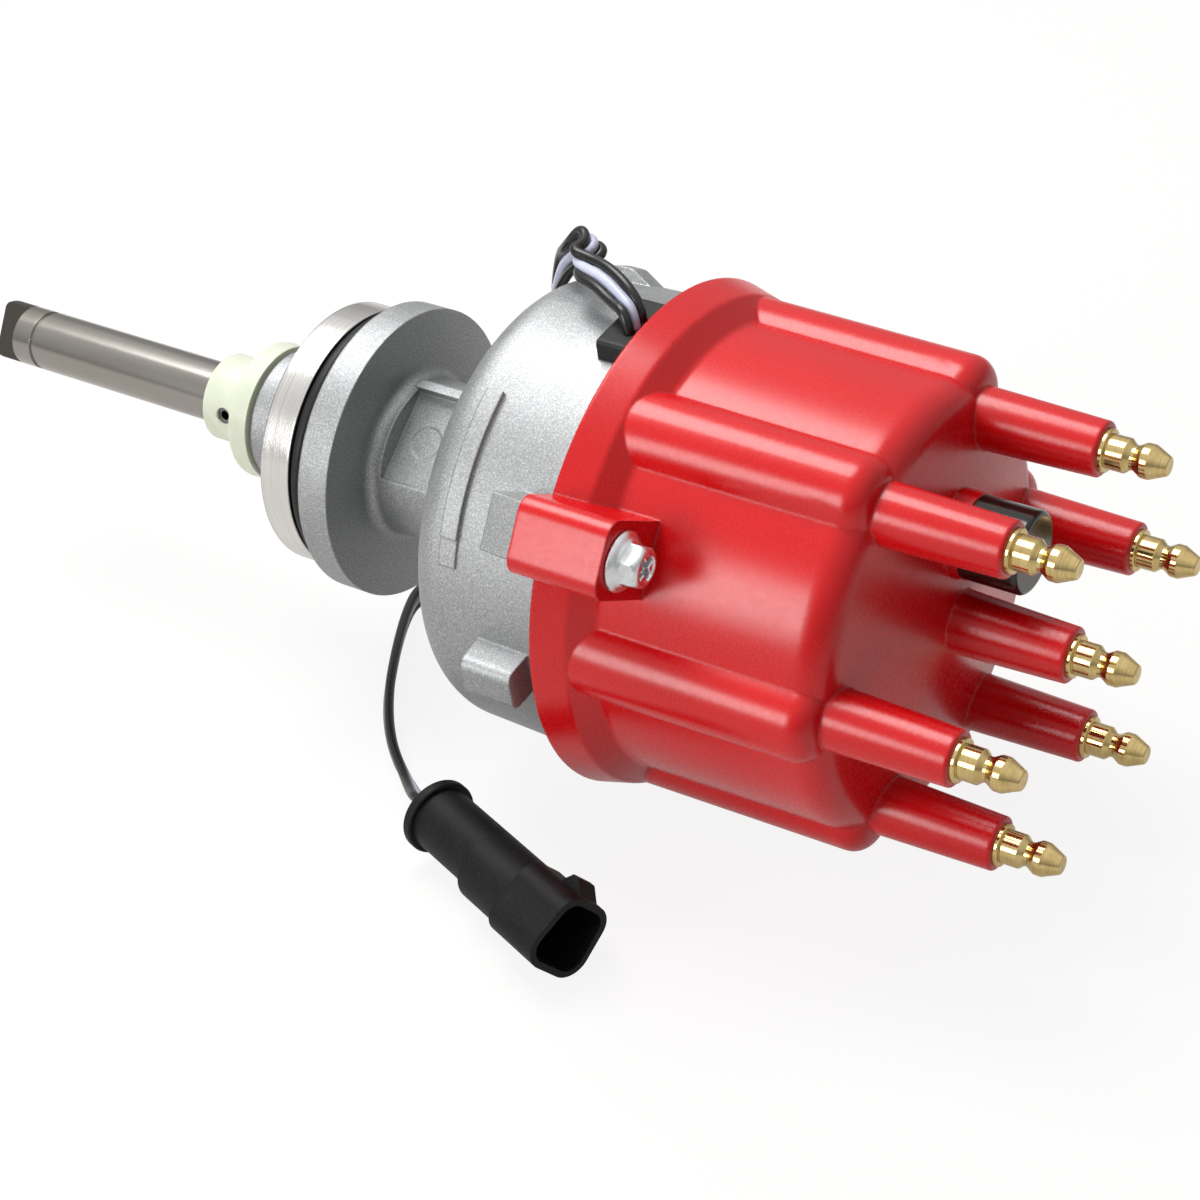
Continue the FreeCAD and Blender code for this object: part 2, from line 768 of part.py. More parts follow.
def sensor_plate_screws():
    """Two pan-head screws, one solid each, in one node."""
    screws = []
    for number_, angle in enumerate((POST_ANGLE, POST_ANGLE + 180.0)):
        cosine, sine = around(angle)
        shank = doc.addObject("Part::Cylinder", "plate_screw_shank%d" % number_)
        head = doc.addObject("Part::Cylinder", "plate_screw_head%d" % number_)
        bind(shank, "Radius", s.plate_screw_radius)
        bind(shank, "Height", s.plate_screw_length + s.plate_thickness)
        bind(head, "Radius", s.plate_screw_head_radius)
        bind(head, "Height", s.plate_screw_head_height)
        for piece, height in ((shank, s.post_height - s.plate_screw_length),
                              (head, s.post_height + s.plate_thickness)):
            bind(piece, "Placement.Base.x", s.post_ring_radius * cosine)
            bind(piece, "Placement.Base.y", s.post_ring_radius * sine)
            bind(piece, "Placement.Base.z", height)
        screw = doc.addObject("Part::Fuse", "plate_screw%d" % number_)
        screw.Base = shank
        screw.Tool = head
        screws.append(screw)
    group(screws, "sensor_plate_screws", s.bowl_floor)


def group(pieces, label, along):
    """Hold separate solids together as one node, laid down at a station."""
    both = doc.addObject("Part::Compound", label)
    both.Label = label
    both.Links = pieces
    lay_down(both, along)
    NODES.append(both)


def hall_sensor():
    """A pick-up with two legs; the shutter wheel's vanes pass between them."""
    body = new_body("hall_sensor")
    side_block(body, "legs", SENSOR_ANGLE, [
        (s.sensor_inner, 0),
        (s.sensor_outer, 0),
        (s.sensor_outer, s.sensor_leg_height),
        (s.sensor_gap_end, s.sensor_leg_height),
        (s.sensor_gap_end, s.sensor_base_height),
        (s.sensor_gap_start, s.sensor_base_height),
        (s.sensor_gap_start, s.sensor_leg_height),
        (s.sensor_inner, s.sensor_leg_height),
    ], s.sensor_width)
    lay_down(body, s.bowl_floor + s.post_height + s.plate_thickness)


def lead_grommet():
    """A moulded block that fills the slot, with three holes for the wires."""
    body = new_body("lead_grommet")
    across = s.slot_half_width
    inner = bowl_rim_radius() - s.grommet_depth
    plan = new_sketch(body, "XY_Plane", "grommet_plan", GROMMET_ANGLE)
    outline(plan, [
        (inner, across * -1),
        (grommet_reach(), across * -1, s.grommet_corner),
        (grommet_reach(), across, s.grommet_corner),
        (inner, across),
    ])
    extruded(body, "block", plan, s.cap_rim - s.slot_bottom)
    inside = new_sketch(body, "XY_Plane", "grommet_top_plan", GROMMET_ANGLE,
                        height=s.cap_rim - s.slot_bottom)
    under_skirt = bowl_rim_radius() - s.grommet_top_inset
    polygon(inside, [
        (inner, across * -1),
        (under_skirt, across * -1),
        (under_skirt, across),
        (inner, across),
    ])
    extruded(body, "top", inside, s.bowl_rim_station - s.cap_rim)
    for step in (-1, 0, 1):
        wire_hole(body, step)
    lay_down(body, s.slot_bottom)


def grommet_reach():
    return bowl_rim_radius() + s.grommet_proud


def wire_hole(body, step):
    """One blind hole in the grommet's outer face, in line with its wire."""
    start = LEAD_ROUTE[0][0]
    sketch = new_sketch(body, "YZ_Plane", "wire_hole_plan%d" % (step + 1),
                        height=grommet_reach() + 1.0)
    round_hole(sketch, s.wire_radius, s.wire_pitch * step - start[1],
               s.slot_bottom * -1 + start[0])
    depth = grommet_reach() + 1.0 - start[2]
    extruded(body, "wire_hole%d" % (step + 1), sketch, depth, "Pocket")


# Rotating pieces


def drive_shaft():
    body = new_body("drive_shaft")
    tip = s.shaft_tip_depth
    ring_inner = s.shaft_radius - s.shaft_ring_depth
    turned(body, "bar", [
        (0, 0),
        (s.shaft_radius, 0),
        (s.shaft_radius, s.shaft_ring_station),
        (ring_inner, s.shaft_ring_station),
        (ring_inner, s.shaft_ring_station + s.shaft_ring_width),
        (s.shaft_radius, s.shaft_ring_station + s.shaft_ring_width),
        (s.shaft_radius, tip + s.spindle_start),
        (s.spindle_radius, tip + s.spindle_start),
        (s.spindle_radius, tip + s.spindle_end),
        (0, tip + s.spindle_end),
    ])
    reach = s.shaft_radius + 1.0
    for name, side in (("tang_near", 1), ("tang_far", -1)):
        sketch = new_sketch(body, "XY_Plane", name + "_plan", TANG_ANGLE)
        polygon(sketch, [
            (s.tang_thickness * (0.5 * side), reach * -1),
            (reach * side, reach * -1),
            (reach * side, reach),
            (s.tang_thickness * (0.5 * side), reach),
        ])
        cut = extruded(body, name, sketch, s.tang_length, "Pocket", reverse=True)
    half = s.shaft_radius.value * 0.8
    rounded(body, "tang_corners", cut, s.tang_corner_radius,
            lambda e: e.CenterOfMass.z < 0.01 and reach_of(e) > half)
    cross_hole(body, tip - s.boss_end - s.washer_thickness - 0.3 - s.collar_flange_length
               - s.collar_small_length * 0.5, s.shaft_radius + 1.0)
    lay_down(body, tip * -1)


def cross_hole(body, height, half_length):
    """A hole for the roll pin, right across the shaft or collar."""
    sketch = new_sketch(body, "YZ_Plane", "pin_hole_plan")
    sketch.AttachmentOffset = FreeCAD.Placement(
        Vector(0, 0, 0), FreeCAD.Rotation(Vector(0, 1, 0), ROLL_PIN_ANGLE))
    round_hole(sketch, s.roll_pin_radius, 0.0, height)
    extruded(body, "pin_hole", sketch, half_length * 2.0, "Pocket", both_ways=True)


def thrust_collar():
    body = new_body("thrust_collar")
    turned(body, "collar", [
        (s.shaft_radius, 0),
        (s.collar_small_radius, 0),
        (s.collar_small_radius, s.collar_small_length, 0.6),
        (s.collar_flange_radius, s.collar_small_length, 0.5),
        (s.collar_flange_radius, s.collar_small_length + s.collar_flange_length),
        (s.shaft_radius, s.collar_small_length + s.collar_flange_length),
    ])
    cross_hole(body, s.collar_small_length * 0.5, s.collar_small_radius + 1.0)
    lay_down(body, collar_station())


def collar_station():
    """Where the collar starts: under the boss by a running gap and the washer."""
    return (s.boss_end + s.washer_thickness + 0.3 + s.collar_flange_length
            + s.collar_small_length) * -1


def thrust_washer():
    body = new_body("thrust_washer")
    plan = new_sketch(body, "XY_Plane", "washer_plan")
    round_hole(plan, s.washer_radius)
    round_hole(plan, s.shaft_radius)
    extruded(body, "washer", plan, s.washer_thickness)
    lay_down(body, (s.boss_end + s.washer_thickness + 0.3) * -1)


def collar_roll_pin():
    """A hollow pin across the collar and shaft."""
    body = new_body("collar_roll_pin")
    sketch = new_sketch(body, "YZ_Plane", "pin_plan")
    sketch.AttachmentOffset = FreeCAD.Placement(
        Vector(0, 0, 0), FreeCAD.Rotation(Vector(0, 1, 0), ROLL_PIN_ANGLE))
    middle = s.collar_small_length * 0.5
    round_hole(sketch, s.roll_pin_radius, 0.0, middle)
    round_hole(sketch, s.roll_pin_bore, 0.0, middle)
    extruded(body, "pin", sketch, s.collar_small_radius * 2.0 - 1.2, both_ways=True)
    lay_down(body, collar_station())


def shutter_wheel():
    """A pressed wheel with six vanes and a window between each two."""
    body = new_body("shutter_wheel")
    rise = s.wheel_top - s.vane_bottom
    turned(body, "cup", [
        (s.wheel_radius - s.wheel_thickness, 0),
        (s.wheel_radius, 0),
        (s.wheel_radius, rise),
        (s.spindle_radius, rise),
        (s.spindle_radius, s.spindle_start - s.vane_bottom),
        (s.wheel_hub_radius, s.spindle_start - s.vane_bottom),
        (s.wheel_hub_radius, rise - s.wheel_thickness),
        (s.wheel_radius - s.wheel_thickness, rise - s.wheel_thickness),
    ])
    plan = new_sketch(body, "XY_Plane", "window_plan")
    half = s.window_width * 0.5
    polygon(plan, [
        (s.wheel_radius - 4.0, half * -1),
        (s.wheel_radius + 1.0, half * -1),
        (s.wheel_radius + 1.0, half),
        (s.wheel_radius - 4.0, half),
    ])
    window = extruded(body, "window", plan, rise - s.wheel_thickness, "Pocket", reverse=True)
    polar(body, "windows", [window], 6)
    lay_down(body, s.vane_bottom)


def rotor():
    """The moulded rotor: skirt, column and the arm that carries the blade."""
    body = new_body("rotor")
    base = s.wheel_top
    turned(body, "column", [
        (s.spindle_radius, 0),
        (s.rotor_skirt_radius, 0),
        (s.rotor_skirt_radius, s.rotor_skirt_height, 1.5),
        (s.rotor_column_radius + 1.5, s.rotor_skirt_height, 2.0),
        (s.rotor_column_radius, s.rotor_arm_top - base, 1.0),
        (0, s.rotor_arm_top - base),
        (0, s.spindle_end - base),
        (s.spindle_radius, s.spindle_end - base),
    ])
    plan = new_sketch(body, "XY_Plane", "arm_plan", ROTOR_ANGLE, height=s.rotor_arm_bottom - base)
    half = s.rotor_arm_width * 0.5
    outline(plan, [
        (s.rotor_tail_reach * -1, half * -1, 2.0),
        (s.rotor_arm_reach, half * -0.8, 2.0),
        (s.rotor_arm_reach, half * 0.8, 2.0),
        (s.rotor_tail_reach * -1, half, 2.0),
    ])
    extruded(body, "arm", plan, s.rotor_arm_top - s.rotor_arm_bottom)
    lay_down(body, base)


def rotor_blade():
    body = new_body("rotor_blade")
    plan = new_sketch(body, "XY_Plane", "blade_plan", ROTOR_ANGLE)
    half = s.blade_width * 0.5
    outline(plan, [
        (s.contact_radius * -1.6, half * -1, 1.0),
        (s.blade_tip, half * -1, 0.8),
        (s.blade_tip, half, 0.8),
        (s.contact_radius * -1.6, half, 1.0),
    ])
    extruded(body, "blade", plan, s.blade_thickness)
    lay_down(body, s.rotor_arm_top)


def rotor_contact():
    """The domed contact on the blade that the carbon brush rubs on."""
    body = new_body("rotor_contact")
    turned(body, "dome", [
        (0, 0),
        (s.contact_radius, 0),
        (s.contact_radius, s.contact_height * 0.4),
        (s.contact_radius * 0.5, s.contact_height),
        (0, s.contact_height),
    ])
    lay_down(body, s.rotor_arm_top + s.blade_thickness)


# Cap: skirt, six ribs, seven towers, two ears


def skirt_radius():
    """The inside of the cap's skirt, which goes over the bowl's rim."""
    return bowl_rim_radius() + s.skirt_clearance


def cap_rim_radius():
    return skirt_radius() + s.cap_rim_wall


def screw_ring_radius():
    return cap_rim_radius() + s.screw_beyond_rim


def distributor_cap():
    body = new_body("distributor_cap")
    turned(body, "shell", [
        (0, s.cap_rim),
        (cap_rim_radius(), s.cap_rim),
        (skirt_radius() + s.cap_band_wall, s.cap_band_top, 1.4),
        (s.panel_low_radius, s.panel_bottom, 1.5),
        (s.panel_high_radius, s.shoulder_station, s.shoulder_round),
        (s.coil_root_radius, s.dome_top),
        (s.coil_tip_radius, s.coil_tower_tip, s.tower_edge),
        (0, s.coil_tower_tip),
    ])
    rib = turned(body, "rib", [
        (0, s.cap_band_top - 1.5),
        (s.rib_low_radius, s.cap_band_top - 1.5),
        (s.rib_high_radius, s.shoulder_station, s.rib_round),
        (0, s.shoulder_station + 0.4),
    ], TOWER_ANGLE, s.rib_offset)
    tower = turned(body, "tower", [
        (0, s.shoulder_station - 3.0),
        (s.tower_root_radius, s.shoulder_station - 3.0),
        (s.tower_tip_radius, s.tower_tip, s.tower_edge),
        (0, s.tower_tip),
    ], TOWER_ANGLE, s.tower_ring_radius)
    polar(body, "ribs_and_towers", [rib, tower], 6)
    seat = new_sketch(body, "XY_Plane", "vent_seat_plan", height=s.shoulder_station - 1.0)
    round_hole(seat, s.vent_radius + 0.25, s.vent_offset, s.vent_side * -1)
    extruded(body, "vent_seat", seat, s.vent_seat - s.shoulder_station + 1.0)
    ears(body)
    cap_hollow(body)
    terminal_bores(body)
    lay_down(body, 0.0)


def ears(body):
    """Two screw ears on the skirt, bored for the screws that hold the cap down."""
    plan = new_sketch(body, "XY_Plane", "ear_plan", EAR_ANGLE, height=s.ear_bottom)
    half = s.ear_width * 0.5
    reach = screw_ring_radius() + s.ear_beyond_screw
    outline(plan, [
        (s.panel_low_radius - 1.5, half * -1),
        (reach, half * -1, s.ear_round),
        (reach, half, s.ear_round),
        (s.panel_low_radius - 1.5, half),
    ])
    ear = extruded(body, "ear", plan, s.ear_top - s.ear_bottom)
    hole_plan = new_sketch(body, "XY_Plane", "ear_hole_plan", EAR_ANGLE, height=s.ear_bottom)
    round_hole(hole_plan, s.screw_hole_radius, screw_ring_radius(), 0.0)
    hole = extruded(body, "ear_hole", hole_plan, s.ear_top - s.ear_bottom, "Pocket", reverse=True)
    polar(body, "ears", [ear, hole], 2)


def cap_hollow(body):
    """The hollow for the bowl's rim, the rotor and the brush holder's boss."""
    boss = s.brush_radius + s.brush_clearance
    skirt = skirt_radius()
    turned(body, "hollow", [
        (0, s.ear_bottom - 1.0),
        (skirt, s.ear_bottom - 1.0),
        (skirt, s.bowl_rim_station),
        (s.cavity_low_radius, s.bowl_rim_station),
        (s.cavity_low_radius, s.cavity_step, 2.0),
        (s.cavity_high_radius, s.cavity_step + 3.0, 2.0),
        (s.cavity_high_radius, s.cavity_top, 2.0),
        (s.brush_boss_radius, s.cavity_top),
        (s.brush_boss_radius, s.brush_boss_bottom),
        (boss, s.brush_boss_bottom),
        (boss, s.coil_stem_bottom),
        (s.terminal_stem_radius, s.coil_stem_bottom),
        (s.terminal_stem_radius, s.coil_tower_tip + 1.0),
        (0, s.coil_tower_tip + 1.0),
    ], kind="Groove")
    plan = new_sketch(body, "XY_Plane", "vent_hole_plan", height=s.cavity_top - 1.0)
    round_hole(plan, s.vent_stem_radius, s.vent_offset, s.vent_side * -1)
    extruded(body, "vent_hole", plan, s.vent_seat - s.cavity_top + 2.0, "Pocket", reverse=True)


def terminal_bores(body):
    bore = turned(body, "terminal_bore", [
        (0, s.electrode_bottom - 1.0),
        (s.electrode_radius, s.electrode_bottom - 1.0),
        (s.electrode_radius, s.electrode_top),
        (s.terminal_stem_radius, s.electrode_top),
        (s.terminal_stem_radius, s.tower_tip + 1.0),
        (0, s.tower_tip + 1.0),
    ], TOWER_ANGLE, s.tower_ring_radius, kind="Groove")
    polar(body, "terminal_bores", [bore], 6)


def cap_screws():
    """Two hexagon washer-head screws with a cross recess."""
    screws = []
    for count, angle in enumerate((EAR_ANGLE, EAR_ANGLE + 180.0)):
        cosine, sine = around(angle)
        shank = doc.addObject("Part::Cylinder", "screw_shank%d" % count)
        flange = doc.addObject("Part::Cone", "screw_flange%d" % count)
        head = doc.addObject("Part::Prism", "screw_head%d" % count)
        bind(shank, "Radius", s.screw_radius)
        bind(shank, "Height", s.ear_top - s.screw_tip)
        bind(shank, "Placement.Base.z", s.screw_tip - s.ear_top)
        bind(flange, "Radius1", s.screw_flange_radius)
        bind(flange, "Radius2", s.screw_flange_radius - 0.7)
        bind(flange, "Height", s.screw_flange_thickness)
        head.Polygon = 6
        bind(head, "Circumradius", s.screw_hex_across * (0.5 / math.cos(math.pi / 6)))
        bind(head, "Height", s.screw_head_height)
        trim = doc.addObject("Part::Cone", "screw_trim%d" % count)
        bind(trim, "Radius1", s.screw_hex_across * 0.5 + s.screw_head_height)
        bind(trim, "Radius2", s.screw_hex_across * 0.5)
        bind(trim, "Height", s.screw_head_height)
        hexagon = doc.addObject("Part::Common", "screw_hexagon%d" % count)
        hexagon.Base = head
        hexagon.Tool = trim
        cross = recess(count)
        solid = doc.addObject("Part::MultiFuse", "screw_solid%d" % count)
        solid.Shapes = [shank, flange, hexagon]
        screw = doc.addObject("Part::Cut", "cap_screw%d" % count)
        screw.Base = solid
        screw.Tool = cross
        bind(screw, "Placement.Base.x", screw_ring_radius() * cosine)
        bind(screw, "Placement.Base.y", screw_ring_radius() * sine)
        screws.append(screw)
    group(screws, "cap_screws", s.ear_top)


def recess(count):
    """Two crossed slots in the screw's head."""
    slots = []
    for name, length, width in (
            ("long", s.screw_recess_length, s.screw_recess_width),
            ("cross", s.screw_recess_width, s.screw_recess_length)):
        slot = doc.addObject("Part::Box", "recess_%s%d" % (name, count))
        bind(slot, "Length", length)
        bind(slot, "Width", width)
        bind(slot, "Height", s.screw_recess_depth + 1.0)
        bind(slot, "Placement.Base.x", length * -0.5)
        bind(slot, "Placement.Base.y", width * -0.5)
        bind(slot, "Placement.Base.z", s.screw_head_height - s.screw_recess_depth)
        slots.append(slot)
    both = doc.addObject("Part::Fuse", "recess%d" % count)
    both.Base, both.Tool = slots
    return both


def cap_vent():
    body = new_body("cap_vent")
    turned(body, "plug", [
        (0, s.vent_stem_length * -1),
        (s.vent_stem_radius, s.vent_stem_length * -1),
        (s.vent_stem_radius, 0),
        (s.vent_radius, 0),
        (s.vent_radius, s.vent_height, s.vent_round),
        (0, s.vent_height),
    ])
    lay_down(body, s.vent_seat, out=s.vent_offset, side=s.vent_side)


def terminal_outline(stem):
    """Stem, flange, pin, neck and bulb; the height is measured from the tower's end."""
    return stem + [
        (s.terminal_stem_radius, 0),
        (s.terminal_flange_radius, 0),
        (s.terminal_flange_radius, s.terminal_flange_height, 0.3),
        (s.terminal_pin_radius, s.terminal_flange_height),
        (s.terminal_pin_radius, s.terminal_pin_height, 0.3),
        (s.terminal_neck_radius, s.terminal_neck_height),
        (s.terminal_neck_radius, s.terminal_neck_height + 0.6),
        (s.terminal_pin_radius, s.terminal_bulb_height - 0.7, 0.8),
        (s.terminal_pin_radius, s.terminal_bulb_height + 0.7, 0.8),
        (s.terminal_tip_radius, s.terminal_height, 0.4),
        (0, s.terminal_height),
    ]


def plug_terminals():
    """Six brass terminals, each with an electrode that ends inside the cap."""
    low = s.electrode_bottom - s.tower_tip
    high = s.electrode_top - s.tower_tip
    for count in range(6):
        body = new_body("plug_terminal_%d" % (count + 1))
        turned(body, "terminal", terminal_outline([
            (0, low),
            (s.electrode_radius, low),
            (s.electrode_radius, high),
            (s.terminal_stem_radius, high),
        ]))
        cosine, sine = around(TOWER_ANGLE + 60.0 * count)
        lay_down(body, s.tower_tip, out=s.tower_ring_radius * cosine,
                 side=s.tower_ring_radius * -sine)


def coil_terminal():
    body = new_body("coil_terminal")
    low = s.coil_stem_bottom - s.coil_tower_tip
    turned(body, "terminal", terminal_outline([
        (0, low),
        (s.terminal_stem_radius, low),
    ]))
    lay_down(body, s.coil_tower_tip)


def carbon_brush():
    body = new_body("carbon_brush")
    turned(body, "brush", [
        (0, 0),
        (s.brush_radius, 0, 0.5),
        (s.brush_radius, s.brush_top - s.brush_bottom),
        (0, s.brush_top - s.brush_bottom),
    ])
    lay_down(body, s.brush_bottom)


def brush_spring():
    """A coil spring swept along a helix, between the brush and the coil terminal."""
    length = s.coil_stem_bottom - s.brush_top - s.spring_gap - s.spring_wire_radius * 2.0
    helix = doc.addObject("Part::Helix", "spring_path")
    bind(helix, "Radius", s.spring_radius)
    helix.Pitch = length.value / s.spring_turns.value
    bind(helix, "Pitch", Size(helix.Pitch.Value, length.text + " / " + s.spring_turns.text))
    bind(helix, "Height", length)
    wire = doc.addObject("Part::Circle", "spring_section")
    bind(wire, "Radius", s.spring_wire_radius)
    wire.Placement = FreeCAD.Placement(
        Vector(s.spring_radius.value, 0, 0), FreeCAD.Rotation(Vector(1, 0, 0), 90))
    bind(wire, "Placement.Base.x", s.spring_radius)
    sweep = doc.addObject("Part::Sweep", "brush_spring")
    sweep.Label = "brush_spring"
    doc.recompute()
    edges = ["Edge%d" % (i + 1) for i in range(len(helix.Shape.Edges))]
    sweep.Sections = [wire]
    sweep.Spine = (helix, edges)
    sweep.Solid = True
    sweep.Frenet = True
    NODES.append(sweep)
    lay_down(sweep, s.brush_top + s.spring_gap + s.spring_wire_radius)


# Lead and connector, drawn on the table


def side_of(index):
    """The side that wire 3 lies on at a corner, square to the route there."""
    corners = [Vector(*corner) for corner, _ in LEAD_ROUTE]
    before = corners[max(index - 1, 0)]
    after = corners[min(index + 1, len(corners) - 1)]
    run = (after - before).normalize()
    side = Vector(*LEAD_ROUTE[index][1])
    side = side - run * side.dot(run)
    return side.normalize()


def wire_path(step):
    """Straight runs joined by tangent arcs, through the corners of one wire."""
    corners = []
    for index, (corner, _) in enumerate(LEAD_ROUTE):
        corners.append(Vector(*corner) + side_of(index) * (s.wire_pitch.value * step))
    edges = []
    radii = []
    here = corners[0]
    for before, at, after in zip(corners, corners[1:], corners[2:]):
        back = before - at
        ahead = after - at
        turn = math.pi - back.getAngle(ahead)
        radius = LEAD_BEND_SHARE * min(back.Length, ahead.Length) / math.tan(turn / 2)
        enter, leave, centre = tangent_points(before, at, after, radius)
        middle = centre + (at - centre).normalize() * radius
        edges.append(Part.LineSegment(here, enter).toShape())
        edges.append(Part.Arc(enter, middle, leave).toShape())
        radii.append(radius)
        here = leave
    edges.append(Part.LineSegment(here, corners[-1]).toShape())
    print("wire", step, "bend radii", [round(radius, 1) for radius in radii])
    return Part.Wire(edges)


def lead_wires():
    for step in (-1, 0, 1):
        path = wire_path(step)
        first = path.Edges[0]
        start = first.valueAt(first.FirstParameter)
        run = first.tangentAt(first.FirstParameter)
        section = Part.Wire([Part.Circle(start, run, s.wire_radius.value).toShape()])
        tube = path.makePipeShell([section], True, True)
        expected = math.pi * s.wire_radius.value ** 2 * path.Length
        print("wire", step, "length", round(path.Length, 1), "volume ratio",
              round(tube.Volume / expected, 4))
        node = doc.addObject("Part::Feature", "lead_wire_%d" % (step + 2))
        node.Label = node.Name
        node.Shape = tube
        NODES.append(node)


def on_table(body):
    """Turn a piece of the connector, drawn along its own Z, to where it lies."""
    roll = FreeCAD.Rotation(Vector(0, 0, 1), CONNECTOR_ROLL)
    turn = FreeCAD.Rotation(Vector(0, 0, 1), CONNECTOR_TURN).multiply(LAY).multiply(roll)
    height = s.table_height + s.connector_lift
    base = Vector(CONNECTOR_REAR[0], CONNECTOR_REAR[1], height.value)
    body.Placement = FreeCAD.Placement(base, turn)
    bind(body, "Placement.Base.z", height)


def mouth_outline(sketch, inset):
    """The mouth's rounded outline, narrower on the latch's side, moved inwards by a wall."""
    foot = s.connector_foot_half_width - inset
    crown = s.connector_crown_half_width - inset
    corner = s.connector_mouth_round - inset
    return outline(sketch, [
        (s.connector_foot_reach * -1 + inset, s.connector_side - foot, corner),
        (s.connector_crown_reach - inset, s.connector_side - crown, corner),
        (s.connector_crown_reach - inset, s.connector_side + crown, corner),
        (s.connector_foot_reach * -1 + inset, s.connector_side + foot, corner),
    ])


def connector_shell():
    """Round barrel, a wider step set off its axis, and the mouth with its latch."""
    body = new_body("connector_shell")
    turned(body, "barrel", [
        (0, 0),
        (s.connector_rear_radius, 0, 0.5),
        (s.connector_rear_radius, s.connector_rear_length, 0.5),
        (s.connector_body_radius, s.connector_rear_length),
        (s.connector_body_radius, s.connector_mouth_start),
        (0, s.connector_mouth_start),
    ])
    step = new_sketch(body, "XY_Plane", "step_plan", height=s.connector_step_start)
    round_hole(step, s.connector_step_radius, s.connector_drop * -1, s.connector_side)
    extruded(body, "step", step, s.connector_mouth_start - s.connector_step_start)
    plan = new_sketch(body, "XY_Plane", "mouth_plan", height=s.connector_mouth_start)
    mouth_outline(plan, 0.0)
    extruded(body, "mouth", plan, s.connector_length - s.connector_mouth_start)
    root = s.connector_crown_reach - 1.0
    side_block(body, "latch", 0.0, [
        (root, s.latch_start),
        (s.connector_crown_reach + s.latch_height, s.latch_start + s.latch_length * 0.3),
        (s.connector_crown_reach + s.latch_height, s.latch_start + s.latch_length * 0.48),
        (root, s.latch_start + s.latch_length),
    ], s.latch_width)
    socket = new_sketch(body, "XY_Plane", "socket_plan", height=s.connector_length)
    mouth_outline(socket, s.connector_wall)
    floor = s.connector_mouth_start + s.connector_wall
    extruded(body, "socket", socket, s.connector_length - floor, "Pocket")
    round_part = new_sketch(body, "XY_Plane", "socket_bore_plan", height=floor)
    round_hole(round_part, s.connector_body_radius - s.connector_wall)
    extruded(body, "socket_bore", round_part, floor - s.connector_length + s.socket_depth, "Pocket")
    rear = new_sketch(body, "XY_Plane", "seal_bore_plan")
    round_hole(rear, s.seal_radius)
    extruded(body, "seal_bore", rear, s.seal_length, "Pocket", reverse=True)
    on_table(body)


def connector_seal():
    """A rubber plug in the connector's rear, holding the three wires."""
    body = new_body("connector_seal")
    plan = new_sketch(body, "XY_Plane", "seal_plan")
    round_hole(plan, s.seal_radius)
    extruded(body, "seal", plan, s.seal_length)
    for step in (-1, 0, 1):
        hole = new_sketch(body, "XY_Plane", "seal_hole_plan%d" % (step + 1))
        round_hole(hole, s.wire_radius, 0.0, s.wire_pitch * step)
        extruded(body, "seal_hole%d" % (step + 1), hole, 3.0, "Pocket", reverse=True)
    on_table(body)


def connector_pins():
    """Three round contacts standing in the socket's floor, side by side."""
    pins = []
    for step in (-1, 0, 1):
        pin = doc.addObject("Part::Cylinder", "contact_pin%d" % (step + 1))
        bind(pin, "Radius", s.contact_pin_radius)
        bind(pin, "Height", s.contact_pin_length)
        bind(pin, "Placement.Base.x", s.contact_pin_pitch * step)
        bind(pin, "Placement.Base.z", s.connector_length - s.socket_depth)
        pins.append(pin)
    node = doc.addObject("Part::Compound", "connector_pins")
    node.Label = "connector_pins"
    node.Links = pins
    on_table(node)
    NODES.append(node)


def check_and_export():
    """Stop on any feature or shape that is wrong, then write one file for each node."""
    doc.recompute()
    for thing in doc.Objects:
        bad = [state for state in thing.State if state in ("Invalid", "Error")]
        if bad:
            raise RuntimeError("%s is %s" % (thing.Name, bad))
    os.makedirs("parts", exist_ok=True)
    for node in NODES:
        shape = node.Shape
        if shape.isNull() or not shape.isValid():
            raise RuntimeError(node.Label + " has no valid shape")
    for node in NODES:
        node.Shape.exportStep("parts/" + node.Label + ".step")
        print(node.Label, len(node.Shape.Solids), round(node.Shape.Volume, 1))


housing()
bushings()
pilot_o_ring()
sensor_plate()
sensor_plate_screws()
hall_sensor()
lead_grommet()
drive_shaft()
thrust_collar()
thrust_washer()
collar_roll_pin()
shutter_wheel()
rotor()
rotor_blade()
rotor_contact()
distributor_cap()
cap_screws()
cap_vent()
plug_terminals()
coil_terminal()
carbon_brush()
brush_spring()
lead_wires()
connector_shell()
connector_seal()
connector_pins()
check_and_export()
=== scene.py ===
"""An ignition distributor lying on a pale table.

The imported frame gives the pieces. This script adds the finishes, the lead, the cap screws, the brush's
spring, the light and the camera.
"""

import json

import bpy
import numpy as np
from mathutils import Matrix, Vector

